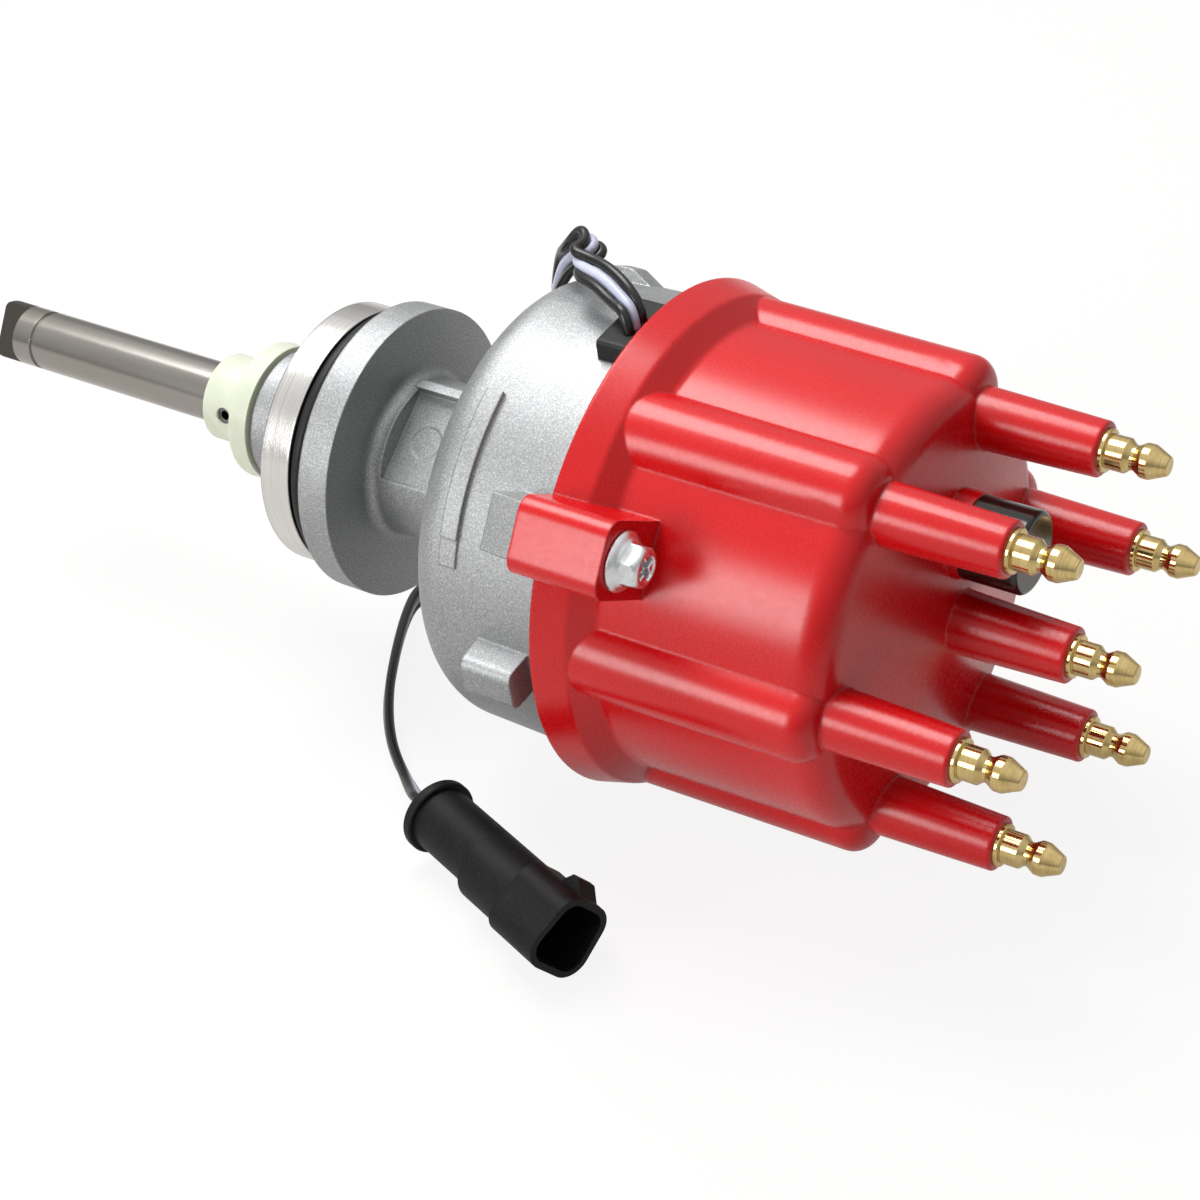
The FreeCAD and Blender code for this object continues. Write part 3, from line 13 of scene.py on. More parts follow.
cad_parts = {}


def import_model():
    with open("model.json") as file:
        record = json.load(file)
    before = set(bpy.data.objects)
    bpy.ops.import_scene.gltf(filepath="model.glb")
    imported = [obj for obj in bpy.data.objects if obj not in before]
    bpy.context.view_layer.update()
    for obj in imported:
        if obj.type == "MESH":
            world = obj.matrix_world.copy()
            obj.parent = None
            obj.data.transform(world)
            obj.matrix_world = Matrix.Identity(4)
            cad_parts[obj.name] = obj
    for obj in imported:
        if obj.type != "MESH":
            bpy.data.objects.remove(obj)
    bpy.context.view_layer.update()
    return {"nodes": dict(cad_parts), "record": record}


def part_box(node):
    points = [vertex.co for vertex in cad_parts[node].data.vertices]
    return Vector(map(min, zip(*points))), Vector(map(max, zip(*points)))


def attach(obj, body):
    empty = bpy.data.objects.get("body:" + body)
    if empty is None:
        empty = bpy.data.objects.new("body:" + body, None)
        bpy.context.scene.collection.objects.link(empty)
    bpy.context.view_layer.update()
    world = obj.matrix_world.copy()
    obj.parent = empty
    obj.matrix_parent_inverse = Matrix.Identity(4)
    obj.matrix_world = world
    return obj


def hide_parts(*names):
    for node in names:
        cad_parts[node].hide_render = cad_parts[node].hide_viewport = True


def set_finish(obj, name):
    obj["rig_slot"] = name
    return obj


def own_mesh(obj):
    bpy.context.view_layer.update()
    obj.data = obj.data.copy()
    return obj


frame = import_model()

MM = 0.001


def new_object(name, data):
    """An object of the scene at the origin, which holds the data."""
    made = bpy.data.objects.new(name, data)
    bpy.context.scene.collection.objects.link(made)
    return made


# Camera: the photograph's long lens, its place in metres and its three directions as measured

LENS_MM = 82.1
SENSOR_MM = 36.0
CAMERA_PLACE = (0.303842, -0.363103, 0.282093)
PICTURE_RIGHT = (0.836925, 0.544945, -0.050901)
PICTURE_UP = (-0.273327, 0.496717, 0.823750)
TOWARDS_CAMERA = (0.474182, -0.675505, 0.564666)
NEAREST_SEEN = 0.02
FARTHEST_SEEN = 20.0


def place_camera():
    data = bpy.data.cameras.new("camera")
    data.lens = LENS_MM
    data.sensor_width = SENSOR_MM
    data.clip_start = NEAREST_SEEN
    data.clip_end = FARTHEST_SEEN
    camera = new_object("camera", data)
    turn = Matrix((PICTURE_RIGHT, PICTURE_UP, TOWARDS_CAMERA)).transposed().to_4x4()
    camera.matrix_world = Matrix.Translation(CAMERA_PLACE) @ turn
    bpy.context.scene.camera = camera


place_camera()


# Lead

# Corners of the middle wire in millimetres, each with the direction in which the outer wires lie beside it
LEAD_ROUTE = (
    ((65.2, -6.9, 44.8), (0, 1, 0)),
    ((65.2, -6.9, 49.8), (0, 1, 0)),
    ((60.6, -4.6, 51.4), (0.3, 0.75, 0.6)),
    ((55.2, -2.0, 52.4), (0.3, 0.75, 0.6)),
    ((50.2, 0.0, 52.0), (0.1, 0.75, 0.7)),
    ((46.4, 2.2, 51.8), (-0.3, 0.4, 0.8)),
    ((48.6, 6.2, 53.0), (-0.75, 0.2, 0.6)),
    ((45.2, 9.0, 53.4), (-0.85, -0.1, 0.4)),
    ((42.4, 8.4, 49.4), (-0.85, -0.1, 0.3)),
    ((35.6, 13.6, 43.0), (-0.7, 0.55, 0.35)),
    ((28.8, 19.0, 30.0), (-0.35, 0.9, 0.2)),
    ((22.4, 25.0, 13.0), (0.4, 0.9, 0)),
    ((17.0, 30.0, -5.0), (0.8, 0.6, 0)),
    ((12.5, 31.0, -23.0), (1, 0, 0)),
    ((8.0, 29.5, -37.6), (0.75, -0.55, 0.35)),
    ((1.0, 26.5, -45.0), (0.35, -0.45, 0.85)),
    ((-5.4, 19.8, -46.2), (0.1, -0.1, 1)),
    ((-7.4, 12.2, -46.2), (0.25, 0, 0.97)),
    ((-4.4, 3.8, -46.2), (0.25, 0.1, 0.97)),
    ((2.0, -8.4, -46.2), (0.23, 0.07, 0.97)),
    ((10.2, -22.0, -46.2), (0.2, 0.04, 0.97)),
    ((20.0, -33.6, -46.2), (0, -0.1, 0.97)),
    ((29.8, -41.2, -46.0), (-0.15, -0.3, 0.9)),
    ((36.4, -46.9, -43.4), (-0.2, -0.45, 0.8)),
    ((40.8, -50.4, -40.45), (-0.22, -0.6, 0.77)),
    ((46.4, -52.5, -40.45), (-0.22, -0.6, 0.77)),
)

# Wire sizes in millimetres, and how finely its round and its run are drawn
WIRE_SPACING = 2.05
WIRE_DIAMETER = 2.0
WIRE_ROUNDNESS = 6
WIRE_SMOOTHNESS = 16

# Number, step from the middle, length in metres and finish of each wire
WIRES = (
    (1, -1, 0.2533, "black_wire"),
    (2, 0, 0.2507, "white_wire"),
    (3, 1, 0.2507, "black_wire"),
)


def side_of(index):
    """The written side direction made square to the run from the corner before to the corner after."""
    before = Vector(LEAD_ROUTE[max(index - 1, 0)][0])
    after = Vector(LEAD_ROUTE[min(index + 1, len(LEAD_ROUTE) - 1)][0])
    run = (after - before).normalized()
    side = Vector(LEAD_ROUTE[index][1])
    return (side - run * side.dot(run)).normalized()


def wire_curve(name, step):
    """A quadratic NURBS whose control points are the route's corners set over by step times the spacing.

    The bevel is one metre, and each point's radius brings it down to the wire's own.
    """
    curve = bpy.data.curves.new(name, "CURVE")
    curve.dimensions = "3D"
    curve.bevel_depth = 1.0
    curve.bevel_resolution = WIRE_ROUNDNESS
    curve.resolution_u = WIRE_SMOOTHNESS
    curve.use_fill_caps = True
    spline = curve.splines.new("NURBS")
    spline.points.add(len(LEAD_ROUTE) - 1)
    for index, (corner, _) in enumerate(LEAD_ROUTE):
        place = (Vector(corner) + side_of(index) * WIRE_SPACING * step) * MM
        spline.points[index].co = (*place, 1.0)
        spline.points[index].radius = WIRE_DIAMETER / 2 * MM
    spline.order_u = 3
    spline.use_endpoint_u = True
    return new_object(name, curve)


def lead_wire(number, step, length, slot):
    """One wire of the flat lead, in place of its CAD solid."""
    wire = wire_curve("wire_%d" % number, step)
    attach(wire, "distributor")
    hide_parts("lead_wire_%d" % number)
    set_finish(wire, slot)
    return wire


# Surfaces worked out on a grid

def tube_faces(rows, sides):
    """Quads between neighbouring rows of one tube, and a fan at each end about a point that follows them."""
    row, turn = np.meshgrid(np.arange(rows - 1), np.arange(sides), indexing="ij")
    after = (turn + 1) % sides
    low, high = row * sides, (row + 1) * sides
    quads = np.stack((low + turn, low + after, high + after, high + turn), axis=-1).reshape(-1, 4)
    here = np.arange(sides)
    ahead = (here + 1) % sides
    last = (rows - 1) * sides
    first_fan = np.stack((np.full_like(here, rows * sides), ahead, here), axis=-1)
    last_fan = np.stack((np.full_like(here, rows * sides + 1), last + here, last + ahead), axis=-1)
    return quads.tolist() + first_fan.tolist() + last_fan.tolist()


def made_piece(name, points, faces, node, slot):
    """A smooth mesh of points in metres that rides the distributor and stands for one CAD node."""
    mesh = bpy.data.meshes.new(name)
    mesh.from_pydata(points.tolist(), [], faces)
    mesh.polygons.foreach_set("use_smooth", np.ones(len(mesh.polygons), dtype=bool))
    piece = new_object(name, mesh)
    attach(piece, "distributor")
    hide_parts(node)
    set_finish(piece, slot)
    return piece


# Cap screws, in millimetres and degrees

SCREW_SIDES = 144
SHANK_RADIUS = 2.4
SHANK_BEVEL = 0.5
FLANGE_RADIUS = 5.5
HEX_ACROSS = 7.1
HEX_CORNER = 4.15
HEX_TURN = 25.0
CAD_HEAD_HEIGHT = 6.0
CROWN_HEIGHT = 5.2
CROWN_RADIUS = 2.7
CROWN_RINGS = 26
CENTRE_RADIUS = 0.04
DISH_DEPTH = 0.3
DISH_RADIUS = 2.65
DISH_WALL = 0.5
CROSS_LENGTH = 4.6
CROSS_WIDTH = 1.3
CROSS_DEPTH = 2.0
CROSS_TURN = 20.0
CROSS_WALL = 0.22
CROSS_RISE = 0.25


def screw_rows(shank):
    """The screw's profile from tip to crown: radius and height of each row, and one where it is hexagonal.

    The height is counted from the flange's underside. The flange rises in a hollow slope to the hexagon.
    """
    return np.array((
        (SHANK_RADIUS - SHANK_BEVEL, -shank, 0), (SHANK_RADIUS, SHANK_BEVEL - shank, 0),
        (SHANK_RADIUS, 0.0, 0), (5.35, 0.0, 0), (FLANGE_RADIUS, 0.12, 0), (FLANGE_RADIUS, 0.4, 0),
        (5.4, 0.62, 0), (5.15, 0.95, 0), (4.85, 1.22, 0), (4.55, 1.42, 0), (4.3, 1.7, 0),
        (HEX_CORNER, 2.0, 0), (HEX_CORNER, 2.2, 1), (HEX_CORNER, 3.8, 1),
        (3.95, 4.2, 1), (3.7, 4.58, 1), (3.4, 4.9, 1), (3.1, 5.1, 1), (2.8, CROWN_HEIGHT, 1),
    ))


def screw_surface(shank):
    """Points of one screw about its own axis as (up, side, along) arrays of rows by sides, in millimetres.

    A hexagon's radius at an angle is half its width across flats over the cosine of the angle from the middle
    of the nearest flat, and at most the row's own radius, which rounds its crown. Inside the crown's edge the
    top is dished, and sunk by the cross where it lies within half an arm's width and length. The cross gets
    shallower along its arms.
    """
    angle = np.arange(SCREW_SIDES) * 2 * np.pi / SCREW_SIDES
    rows = screw_rows(shank)
    fold = np.mod(angle - np.radians(HEX_TURN) + np.pi / 6, np.pi / 3) - np.pi / 6
    flat = np.minimum(rows[:, :1], HEX_ACROSS / 2 / np.cos(fold))
    radius = np.where(rows[:, 2:] > 0, flat, rows[:, :1])
    height = np.broadcast_to(rows[:, 1:2], radius.shape)
    ring = np.linspace(CROWN_RADIUS, CENTRE_RADIUS, CROWN_RINGS)[:, None]
    along_arm = ring * np.cos(angle - np.radians(CROSS_TURN))
    beside_arm = ring * np.sin(angle - np.radians(CROSS_TURN))
    long_side = np.maximum(abs(along_arm), abs(beside_arm))
    short_side = np.minimum(abs(along_arm), abs(beside_arm))
    sunk = np.clip((CROSS_WIDTH / 2 - short_side) / CROSS_WALL + 0.5, 0, 1)
    sunk = sunk * np.clip((CROSS_LENGTH / 2 - long_side) / CROSS_WALL + 0.5, 0, 1)
    dish = DISH_DEPTH * np.clip((DISH_RADIUS - ring) / DISH_WALL, 0, 1)
    crown = CROWN_HEIGHT - dish - CROSS_DEPTH * sunk * (1 - CROSS_RISE * long_side / CROSS_LENGTH)
    radius = np.vstack((radius, np.broadcast_to(ring, crown.shape)))
    height = np.vstack((height, crown))
    return radius * np.cos(angle), radius * np.sin(angle), height


def screw_pair():
    """Both cap screws in one mesh, where the CAD model's stand: one high in front, one low behind."""
    low, high = (np.array(corner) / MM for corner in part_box("cap_screws"))
    seat = high[0] - CAD_HEAD_HEIGHT
    up, side, along = screw_surface(seat - low[0])
    near, far = low[1:] + FLANGE_RADIUS, high[1:] - FLANGE_RADIUS
    points, faces = [], []
    for y, z in ((near[0], far[1]), (far[0], near[1])):
        grid = np.stack((seat + along, y - side, z + up), axis=-1).reshape(-1, 3)
        ends = np.array(((low[0], y, z), (seat + along[-1].mean(), y, z)))
        start = sum(len(group) for group in points)
        faces += [[start + corner for corner in face] for face in tube_faces(len(along), SCREW_SIDES)]
        points.append(np.vstack((grid, ends)) * MM)
    return made_piece("cap_screw_pair", np.vstack(points), faces, "cap_screws", "zinc_plate")


# Brush spring, in millimetres

SPRING_TURNS = 5.0
SPRING_WIRE_RADIUS = 0.3
SPRING_STEPS = 240
SPRING_SIDES = 16


def spring_surface(radius, low, high):
    """Points of the coil in millimetres, as an array of steps by sides by three.

    The wire's middle turns about the shaft's axis at one radius while it climbs evenly. Its section is a
    circle across the tangent, spanned by the outward direction and by the tangent crossed with it.
    """
    turn = np.linspace(0.0, SPRING_TURNS * 2 * np.pi, SPRING_STEPS)[:, None]
    climb = (high - low) / (SPRING_TURNS * 2 * np.pi)
    outward = np.hstack((0 * turn, np.cos(turn), np.sin(turn)))
    middle = outward * radius + (low + climb * turn) * (1, 0, 0)
    tangent = np.hstack((0 * turn + climb, -radius * np.sin(turn), radius * np.cos(turn)))
    tangent /= np.linalg.norm(tangent, axis=1, keepdims=True)
    angle = (np.arange(SPRING_SIDES) * 2 * np.pi / SPRING_SIDES)[None, :, None]
    ring = outward[:, None] * np.cos(angle) + np.cross(tangent, outward)[:, None] * np.sin(angle)
    return middle[:, None] + SPRING_WIRE_RADIUS * ring


def brush_coil():
    """The spring where the CAD model's stands, which shortens towards the middle terminal with the brush."""
    low, high = (np.array(corner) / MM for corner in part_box("brush_spring"))
    radius = high[2] - SPRING_WIRE_RADIUS
    rings = spring_surface(radius, low[0] + SPRING_WIRE_RADIUS, high[0] - SPRING_WIRE_RADIUS)
    points = np.vstack((rings.reshape(-1, 3), rings[[0, -1]].mean(axis=1))) * MM
    faces = tube_faces(SPRING_STEPS, SPRING_SIDES)
    coil = made_piece("brush_coil", points, faces, "brush_spring", "spring_steel")
    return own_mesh(coil)


made_pieces = [lead_wire(*wire) for wire in WIRES] + [screw_pair(), brush_coil()]


# Materials

COLOURS = {"data_type": "RGBA"}
TIMES = {"operation": "MULTIPLY"}
PLUS = {"operation": "ADD"}
ROOT = {"operation": "SQRT"}
GREATER = {"operation": "MAXIMUM"}

# Most of a noise pattern lies between these two values
NOISE_SPAN = {"From_Min": 0.3, "From_Max": 0.7}


def linear(code):
    """An sRGB hex colour as the linear red, green, blue and alpha that a shader takes."""
    parts = [int(code[i:i + 2], 16) / 255 for i in (1, 3, 5)]
    return tuple([p / 12.92 if p <= 0.04045 else ((p + 0.055) / 1.055) ** 2.4 for p in parts] + [1.0])


def connect(tree, node, **inputs):
    """Sets or links a node's inputs.

    Each is called by its socket's name with _ for a space, or by i and its place. A value is a number, a
    tuple, a hex colour or the output that is linked to it.
    """
    for name, value in inputs.items():
        socket = node.inputs[int(name[1:]) if name[1:].isdigit() else name.replace("_", " ")]
        if isinstance(value, bpy.types.NodeSocket):
            tree.links.new(value, socket)
        else:
            socket.default_value = linear(value) if isinstance(value, str) else value


def add(tree, kind, settings=None, out=0, **inputs):
    """Adds a shader node with its own settings and its inputs, and gives the output that out names."""
    node = tree.nodes.new("ShaderNode" + kind)
    for name, value in (settings or {}).items():
        setattr(node, name, value)
    connect(tree, node, **inputs)
    return node.outputs[out]


def finish(name, **shader):
    """A new material, its node tree, its Principled shader with these sockets set, and Object coordinates."""
    material = bpy.data.materials.new(name)
    material.use_nodes = True
    tree = material.node_tree
    principled = tree.nodes["Principled BSDF"]
    connect(tree, principled, **shader)
    return material, tree, principled, add(tree, "TexCoord", out="Object")


def grains(tree, place, size_mm, detail=2.0, stretch=(1, 1, 1)):
    """Noise whose grains are about size_mm across, drawn out along each axis by its stretch."""
    finer = tuple(1 / (share * size_mm * MM) for share in stretch)
    spread = add(tree, "Mapping", Vector=place, Scale=finer)
    return add(tree, "TexNoise", Vector=spread, Scale=1.0, Detail=detail)


def mottled(tree, pattern, low, high, start=0.3, full=0.7, most=1.0):
    """A colour that passes from low to high, by the share most, as the pattern rises from start to full."""
    share = add(tree, "MapRange", Value=pattern, From_Min=start, From_Max=full, To_Max=most)
    return add(tree, "Mix", COLOURS, out=2, Factor=share, i6=low, i7=high)


def relief(tree, edge_mm, *layers):
    """Normals that turn over an edge as a round of edge_mm would, with a bump for each layer.

    A layer is its height pattern, its depth in millimetres and its strength.
    """
    normal = add(tree, "Bevel", {"samples": 6}, Radius=edge_mm * MM)
    for height, depth_mm, strength in layers:
        normal = add(tree, "Bump", Height=height, Distance=depth_mm * MM, Strength=strength, Normal=normal)
    return normal


def along_and_off(tree, place):
    """The distance along the shaft and the distance from its axis, in metres."""
    split = add(tree, "SeparateXYZ", Vector=place).node.outputs
    across = add(tree, "Math", TIMES, i0=split["Y"], i1=split["Y"])
    up = add(tree, "Math", TIMES, i0=split["Z"], i1=split["Z"])
    return split["X"], add(tree, "Math", ROOT, i0=add(tree, "Math", PLUS, i0=across, i1=up))


# Millimetres along the shaft, and from its axis, over which the blasted skin turns into the turned pilot
PILOT_BEGINS = (-12.2, -11.6)
PILOT_ENDS = (-0.5, -0.1)
PILOT_INSIDE = (19.0, 19.4)


def cast_aluminium():
    # Die-cast aluminium, blasted: a dull grey skin with a fine pale grain. The pilot is turned bright.
    # The marks of the blasting grit and the turning tool, near 0.1 mm, are drawn coarser, so that they show.
    material, tree, shader, place = finish("cast_aluminium", Metallic=1.0)
    along, off = along_and_off(tree, place)
    begun = add(tree, "MapRange", Value=along, From_Min=PILOT_BEGINS[0] * MM, From_Max=PILOT_BEGINS[1] * MM)
    lasting = add(tree, "MapRange", Value=along, From_Min=PILOT_ENDS[0] * MM, From_Max=PILOT_ENDS[1] * MM,
                  To_Min=1.0, To_Max=0.0)
    outside = add(tree, "MapRange", Value=off, From_Min=PILOT_INSIDE[0] * MM, From_Max=PILOT_INSIDE[1] * MM)
    turned = add(tree, "Math", TIMES, i0=add(tree, "Math", TIMES, i0=begun, i1=lasting), i1=outside)
    cloud = grains(tree, place, 9.0, detail=3.0)
    flow = grains(tree, place, 6.0)
    grit = grains(tree, place, 0.45, detail=1.0)
    fine = grains(tree, place, 0.28, detail=1.0)
    rings = grains(tree, place, 0.25, stretch=(1, 120, 120))
    skin = mottled(tree, cloud, "#9EA0A1", "#A9AAAA")
    skin = mottled(tree, grit, skin, "#8D8F90", most=0.8)
    skin = mottled(tree, fine, skin, "#CACBCB", start=0.5, full=0.75, most=0.8)
    bright = mottled(tree, rings, "#CFCCC8", "#DEDCD9")
    dull = add(tree, "MapRange", Value=cloud, **NOISE_SPAN, To_Min=0.52, To_Max=0.6)
    shiny = add(tree, "MapRange", Value=rings, From_Min=0.2, From_Max=0.8, To_Min=0.2, To_Max=0.28)
    connect(tree, shader,
            Base_Color=add(tree, "Mix", COLOURS, out=2, Factor=turned, i6=skin, i7=bright),
            Roughness=add(tree, "Mix", Factor=turned, A=dull, B=shiny),
            Normal=relief(tree, 0.6, (flow, 0.12, 0.5), (grit, 0.024, 0.5), (rings, 0.003, 0.2)))
    return material


def red_plastic():
    # Glass-filled polyester moulding: red with a faint grain, a satin gloss and soft corners.
    material, tree, shader, place = finish("red_plastic", IOR=1.5)
    speck = grains(tree, place, 0.7)
    flow = grains(tree, place, 14.0, stretch=(2.5, 1, 1))
    red = mottled(tree, flow, "#D2040C", "#DC0812")
    connect(tree, shader,
            Base_Color=mottled(tree, speck, red, "#E4303A", start=0.6, full=0.85, most=0.35),
            Roughness=add(tree, "MapRange", Value=speck, **NOISE_SPAN, To_Min=0.24, To_Max=0.3),
            Normal=relief(tree, 0.7, (flow, 0.08, 0.5), (speck, 0.01, 0.3)))
    return material


# Millimetres along the shaft over which the tang's oxide ends
OXIDE_ENDS = (-97.4, -96.6)


def turned_steel():
    # Ground steel: fine rings round the shaft, drawn coarser than the wheel's marks so that they show. The
    # tang at its end keeps a dark, duller oxide.
    material, tree, shader, place = finish("turned_steel", Metallic=1.0)
    along, _ = along_and_off(tree, place)
    rings = grains(tree, place, 0.2, stretch=(1, 90, 90))
    smear = grains(tree, place, 4.0, stretch=(4, 1, 1))
    oxide = add(tree, "MapRange", Value=along, From_Min=OXIDE_ENDS[0] * MM, From_Max=OXIDE_ENDS[1] * MM,
                To_Min=1.0, To_Max=0.0)
    steel = mottled(tree, rings, "#98948F", "#9D9994")
    steel = mottled(tree, smear, steel, "#93887C", full=0.8, most=0.35)
    ground = add(tree, "MapRange", Value=rings, From_Min=0.2, From_Max=0.8, To_Min=0.21, To_Max=0.24)
    connect(tree, shader,
            Base_Color=add(tree, "Mix", COLOURS, out=2, Factor=oxide, i6=steel, i7="#4A4642"),
            Roughness=add(tree, "Math", PLUS, i0=ground, i1=add(tree, "Math", TIMES, i0=oxide, i1=0.2)),
            Normal=relief(tree, 0.2, (smear, 0.01, 0.1)))
    return material


def polished_brass():
    # Free-cutting brass, turned: bright, with tool rings drawn coarser than real ones, and a warm tarnish in
    # patches.
    material, tree, shader, place = finish("polished_brass", Metallic=1.0)
    rings = grains(tree, place, 0.3, stretch=(1, 60, 60))
    patch = grains(tree, place, 2.2)
    brass = mottled(tree, rings, "#C6AC70", "#D6BF88")
    connect(tree, shader,
            Base_Color=mottled(tree, patch, brass, "#A98A50", start=0.45, full=0.8, most=0.6),
            Roughness=add(tree, "MapRange", Value=patch, **NOISE_SPAN, To_Min=0.1, To_Max=0.2),
            Normal=relief(tree, 0.12, (rings, 0.006, 0.4)))
    return material


def zinc_plate():
    # Bright zinc over steel: cool and shiny, a little uneven.
    material, tree, shader, place = finish("zinc_plate", Metallic=1.0)
    patch = grains(tree, place, 1.2, detail=3.0)
    connect(tree, shader,
            Base_Color=mottled(tree, patch, "#CDD0D2", "#E2E4E5"),
            Roughness=add(tree, "MapRange", Value=patch, **NOISE_SPAN, To_Min=0.24, To_Max=0.34),
            Normal=relief(tree, 0.18, (patch, 0.02, 0.3)))
    return material


def nylon():
    # Natural nylon, moulded: milky, slightly green, and light goes a little way in.
    material, tree, shader, place = finish("nylon", Roughness=0.42, IOR=1.53, Subsurface_Weight=0.25,
                                           Subsurface_Radius=(1.0, 0.95, 0.8), Subsurface_Scale=1.6 * MM)
    cloud = grains(tree, place, 5.0)
    speck = grains(tree, place, 0.8)
    connect(tree, shader,
            Base_Color=mottled(tree, cloud, "#D6DCC6", "#E1E5D4"),
            Normal=relief(tree, 0.3, (speck, 0.01, 0.25)))
    return material


def plain(name, low, high, rough, grain_mm, depth_mm, edge_mm, dust=None, **shader_sockets):
    """A finish between two near colours, over patches twelve grains wide, with its dust on the grains' tops.

    The roughness rises and falls by 12 percent with the grain.
    """
    material, tree, shader, place = finish(name, **shader_sockets)
    grain = grains(tree, place, grain_mm)
    patch = grains(tree, place, grain_mm * 12)
    colour = mottled(tree, patch, low, high)
    if dust:
        colour = mottled(tree, grain, colour, dust, start=0.5, full=0.85, most=0.6)
    connect(tree, shader,
            Base_Color=colour,
            Roughness=add(tree, "MapRange", Value=grain, **NOISE_SPAN,
                          To_Min=rough * 0.88, To_Max=rough * 1.12),
            Normal=relief(tree, edge_mm, (grain, depth_mm, 0.4)))
    return material


FINISHES = {
    "cast_aluminium": cast_aluminium(),
    "red_plastic": red_plastic(),
    "turned_steel": turned_steel(),
    "polished_brass": polished_brass(),
    "zinc_plate": zinc_plate(),
    "nylon": nylon(),
    # Nitrile and EPDM rubber: black, dull sheen.
    "black_rubber": plain("black_rubber", "#101110", "#191A19",
                          rough=0.52, grain_mm=0.4, depth_mm=0.012, edge_mm=0.3, IOR=1.4),
    # Glass-filled nylon of the connector: black, with a matte grain that holds pale dust. The grain is drawn
    # coarser than the real one, so that it shows.
    "black_plastic": plain("black_plastic", "#030304", "#0C0C0E",
                           rough=0.56, grain_mm=0.5, depth_mm=0.03, edge_mm=0.2, dust="#2E2E30", IOR=1.3),
    # Phenolic plug of the vent: black with a clear gloss.
    "gloss_black_plastic": plain("gloss_black_plastic", "#141311", "#1C1A17",
                                 rough=0.14, grain_mm=0.8, depth_mm=0.004, edge_mm=0.3),
    # Sintered bronze: dull brown metal with fine pores.
    "bearing_bronze": plain("bearing_bronze", "#8E6C3E", "#A6814C",
                            rough=0.45, grain_mm=0.3, depth_mm=0.02, edge_mm=0.2, Metallic=1.0),
    # Plated sheet steel: grey with a slight satin.
    "sheet_steel": plain("sheet_steel", "#A6A6A2", "#B6B5AE",
                         rough=0.34, grain_mm=0.5, depth_mm=0.006, edge_mm=0.15, Metallic=1.0),
    # Hard-drawn spring wire: dark and smooth.
    "spring_steel": plain("spring_steel", "#6C6C6E", "#7E7D7D",
                          rough=0.32, grain_mm=0.3, depth_mm=0.006, edge_mm=0.1, Metallic=1.0),
    # Pressed carbon: black and dull.
    "carbon": plain("carbon", "#161616", "#202020",
                    rough=0.6, grain_mm=0.3, depth_mm=0.02, edge_mm=0.15),
    # Red moulding of the rotor: the cap's colour, duller.
    "rotor_plastic": plain("rotor_plastic", "#96181F", "#A51E26",
                           rough=0.4, grain_mm=0.7, depth_mm=0.012, edge_mm=0.4),
    # Soft vinyl insulation, extruded: smooth and a little glossy.
    "black_wire": plain("black_wire", "#080707", "#0F0E0D",
                        rough=0.3, grain_mm=0.6, depth_mm=0.006, edge_mm=0.1),
    "white_wire": plain("white_wire", "#C3C7DF", "#D2D5EA",
                        rough=0.32, grain_mm=0.6, depth_mm=0.006, edge_mm=0.1),
}


def dress(thing, slot):
    thing.data.materials.clear()
    thing.data.materials.append(FINISHES[slot])


for part in frame["record"]["subparts"]:
    dress(frame["nodes"][part["node"]], part["material_slot"])
for piece in made_pieces:
    dress(piece, piece["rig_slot"])


# Table, light and world

# The table's height and half its width in metres, and how much of its white the eye and a reflection see
TABLE_TOP = -49.4 * MM
TABLE_HALF = 4.0
TABLE_GLOW = 1.07
SEEN_SHARE = 0.82
MIRRORED_SHARE = 0.4

# The room's light by direction: along the shaft from the windows' end to the dim end, times a share by height
WINDOW_END = -0.7
DIM_END = 0.8
WINDOW_LIGHT = 1.2
DIM_LIGHT = 0.5
HIGH_UP = 0.8
LOW_SHARE = 0.22
HIGH_SHARE = 0.42

# What a reflection sees low down in the room, where white is one
LOW_MIRRORED = 0.3

LAMP_TARGET = (0.04, 0, 0)


def seen_and_mirrored(tree):
    """One for a ray from the camera, and one for a ray from a reflection or through a clear body."""
    ray = add(tree, "LightPath").node.outputs
    mirrored = add(tree, "Math", GREATER, i0=ray["Is Glossy Ray"], i1=ray["Is Transmission Ray"])
    return ray["Is Camera Ray"], mirrored


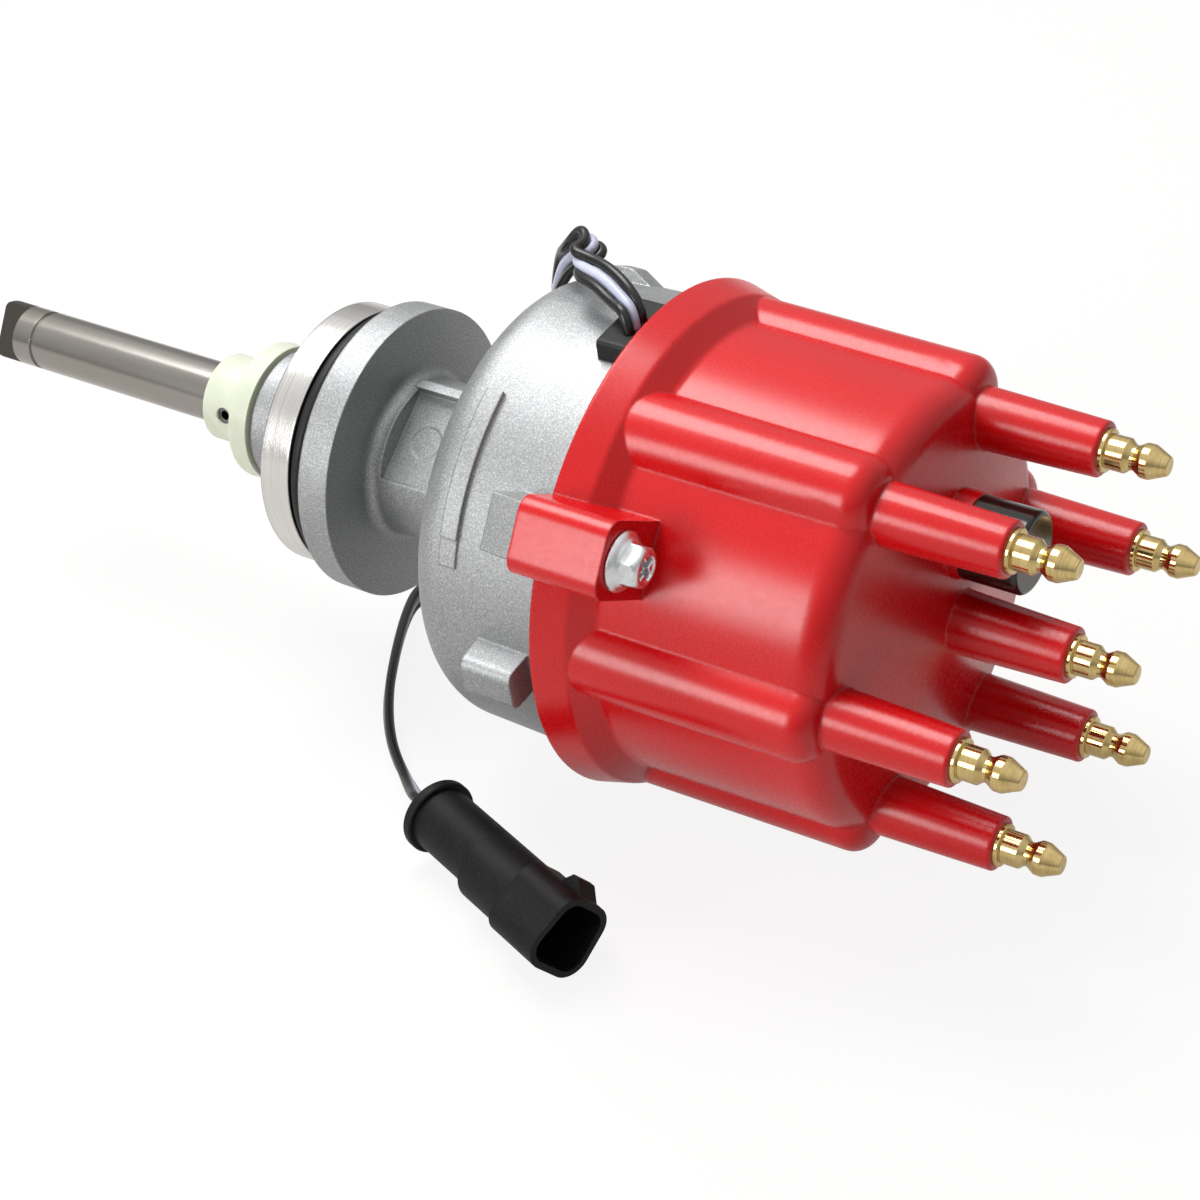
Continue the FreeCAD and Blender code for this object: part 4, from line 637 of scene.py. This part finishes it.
def table():
    """A flat square far wider than the view, which keeps the shadow and looks white to the eye."""
    mesh = bpy.data.meshes.new("table")
    quarters = ((-1, -1), (1, -1), (1, 1), (-1, 1))
    corners = [(x * TABLE_HALF, y * TABLE_HALF, TABLE_TOP) for x, y in quarters]
    mesh.from_pydata(corners, [], [(0, 1, 2, 3)])
    material = bpy.data.materials.new("pale_table")
    material.use_nodes = True
    tree = material.node_tree
    tree.nodes.remove(tree.nodes["Principled BSDF"])
    seen, mirrored = seen_and_mirrored(tree)
    seen = add(tree, "Math", TIMES, i0=seen, i1=SEEN_SHARE)
    mirrored = add(tree, "Math", TIMES, i0=mirrored, i1=MIRRORED_SHARE)
    white_share = add(tree, "Math", GREATER, i0=seen, i1=mirrored)
    matte = add(tree, "BsdfDiffuse", Color="#D2D0CC")
    glow = add(tree, "Emission", Color="#FFFFFF", Strength=TABLE_GLOW)
    mixed = add(tree, "MixShader", i0=white_share, i1=matte, i2=glow)
    connect(tree, tree.nodes["Material Output"], Surface=mixed)
    mesh.materials.append(material)
    new_object("table", mesh)


def world():
    """A pale room with its windows at the shaft's end: white to the eye and overhead, dimmer low down."""
    room = bpy.data.worlds.new("room")
    bpy.context.scene.world = room
    room.use_nodes = True
    tree = room.node_tree
    tree.nodes.remove(tree.nodes["Background"])
    way = add(tree, "SeparateXYZ", Vector=add(tree, "TexCoord", out="Generated")).node.outputs
    window = add(tree, "MapRange", Value=way["X"], From_Min=WINDOW_END, From_Max=DIM_END,
                 To_Min=WINDOW_LIGHT, To_Max=DIM_LIGHT)
    height = add(tree, "MapRange", Value=way["Z"], From_Max=HIGH_UP, To_Min=LOW_SHARE, To_Max=HIGH_SHARE)
    daylight = add(tree, "Math", TIMES, i0=window, i1=height)
    seen, mirrored = seen_and_mirrored(tree)
    mirror_light = add(tree, "MapRange", Value=way["Z"], From_Max=HIGH_UP, To_Min=LOW_MIRRORED)
    white_light = add(tree, "Math", GREATER, i0=mirror_light, i1=seen)
    spread = add(tree, "Background", Color="#FFFFFF", Strength=daylight)
    straight = add(tree, "Background", Color="#FFFFFF", Strength=white_light)
    is_straight = add(tree, "Math", GREATER, i0=seen, i1=mirrored)
    mixed = add(tree, "MixShader", i0=is_straight, i1=spread, i2=straight)
    connect(tree, tree.nodes["World Output"], Surface=mixed)


def soft_light(name, place, size, power):
    """A square soft box at place that faces the object."""
    data = bpy.data.lights.new(name, "AREA")
    data.shape = "SQUARE"
    data.size = size
    data.energy = power
    lamp = new_object(name, data)
    lamp.location = place
    lamp.rotation_euler = (Vector(LAMP_TARGET) - Vector(place)).to_track_quat("-Z", "Y").to_euler()


table()
world()
soft_light("top_box", (-0.3, 0.1, 0.85), size=0.55, power=8.0)
soft_light("side_box", (-0.3, -0.9, 0.3), size=0.4, power=4.2)

bpy.context.scene.view_settings.view_transform = "Standard"

bpy.context.view_layer.update()
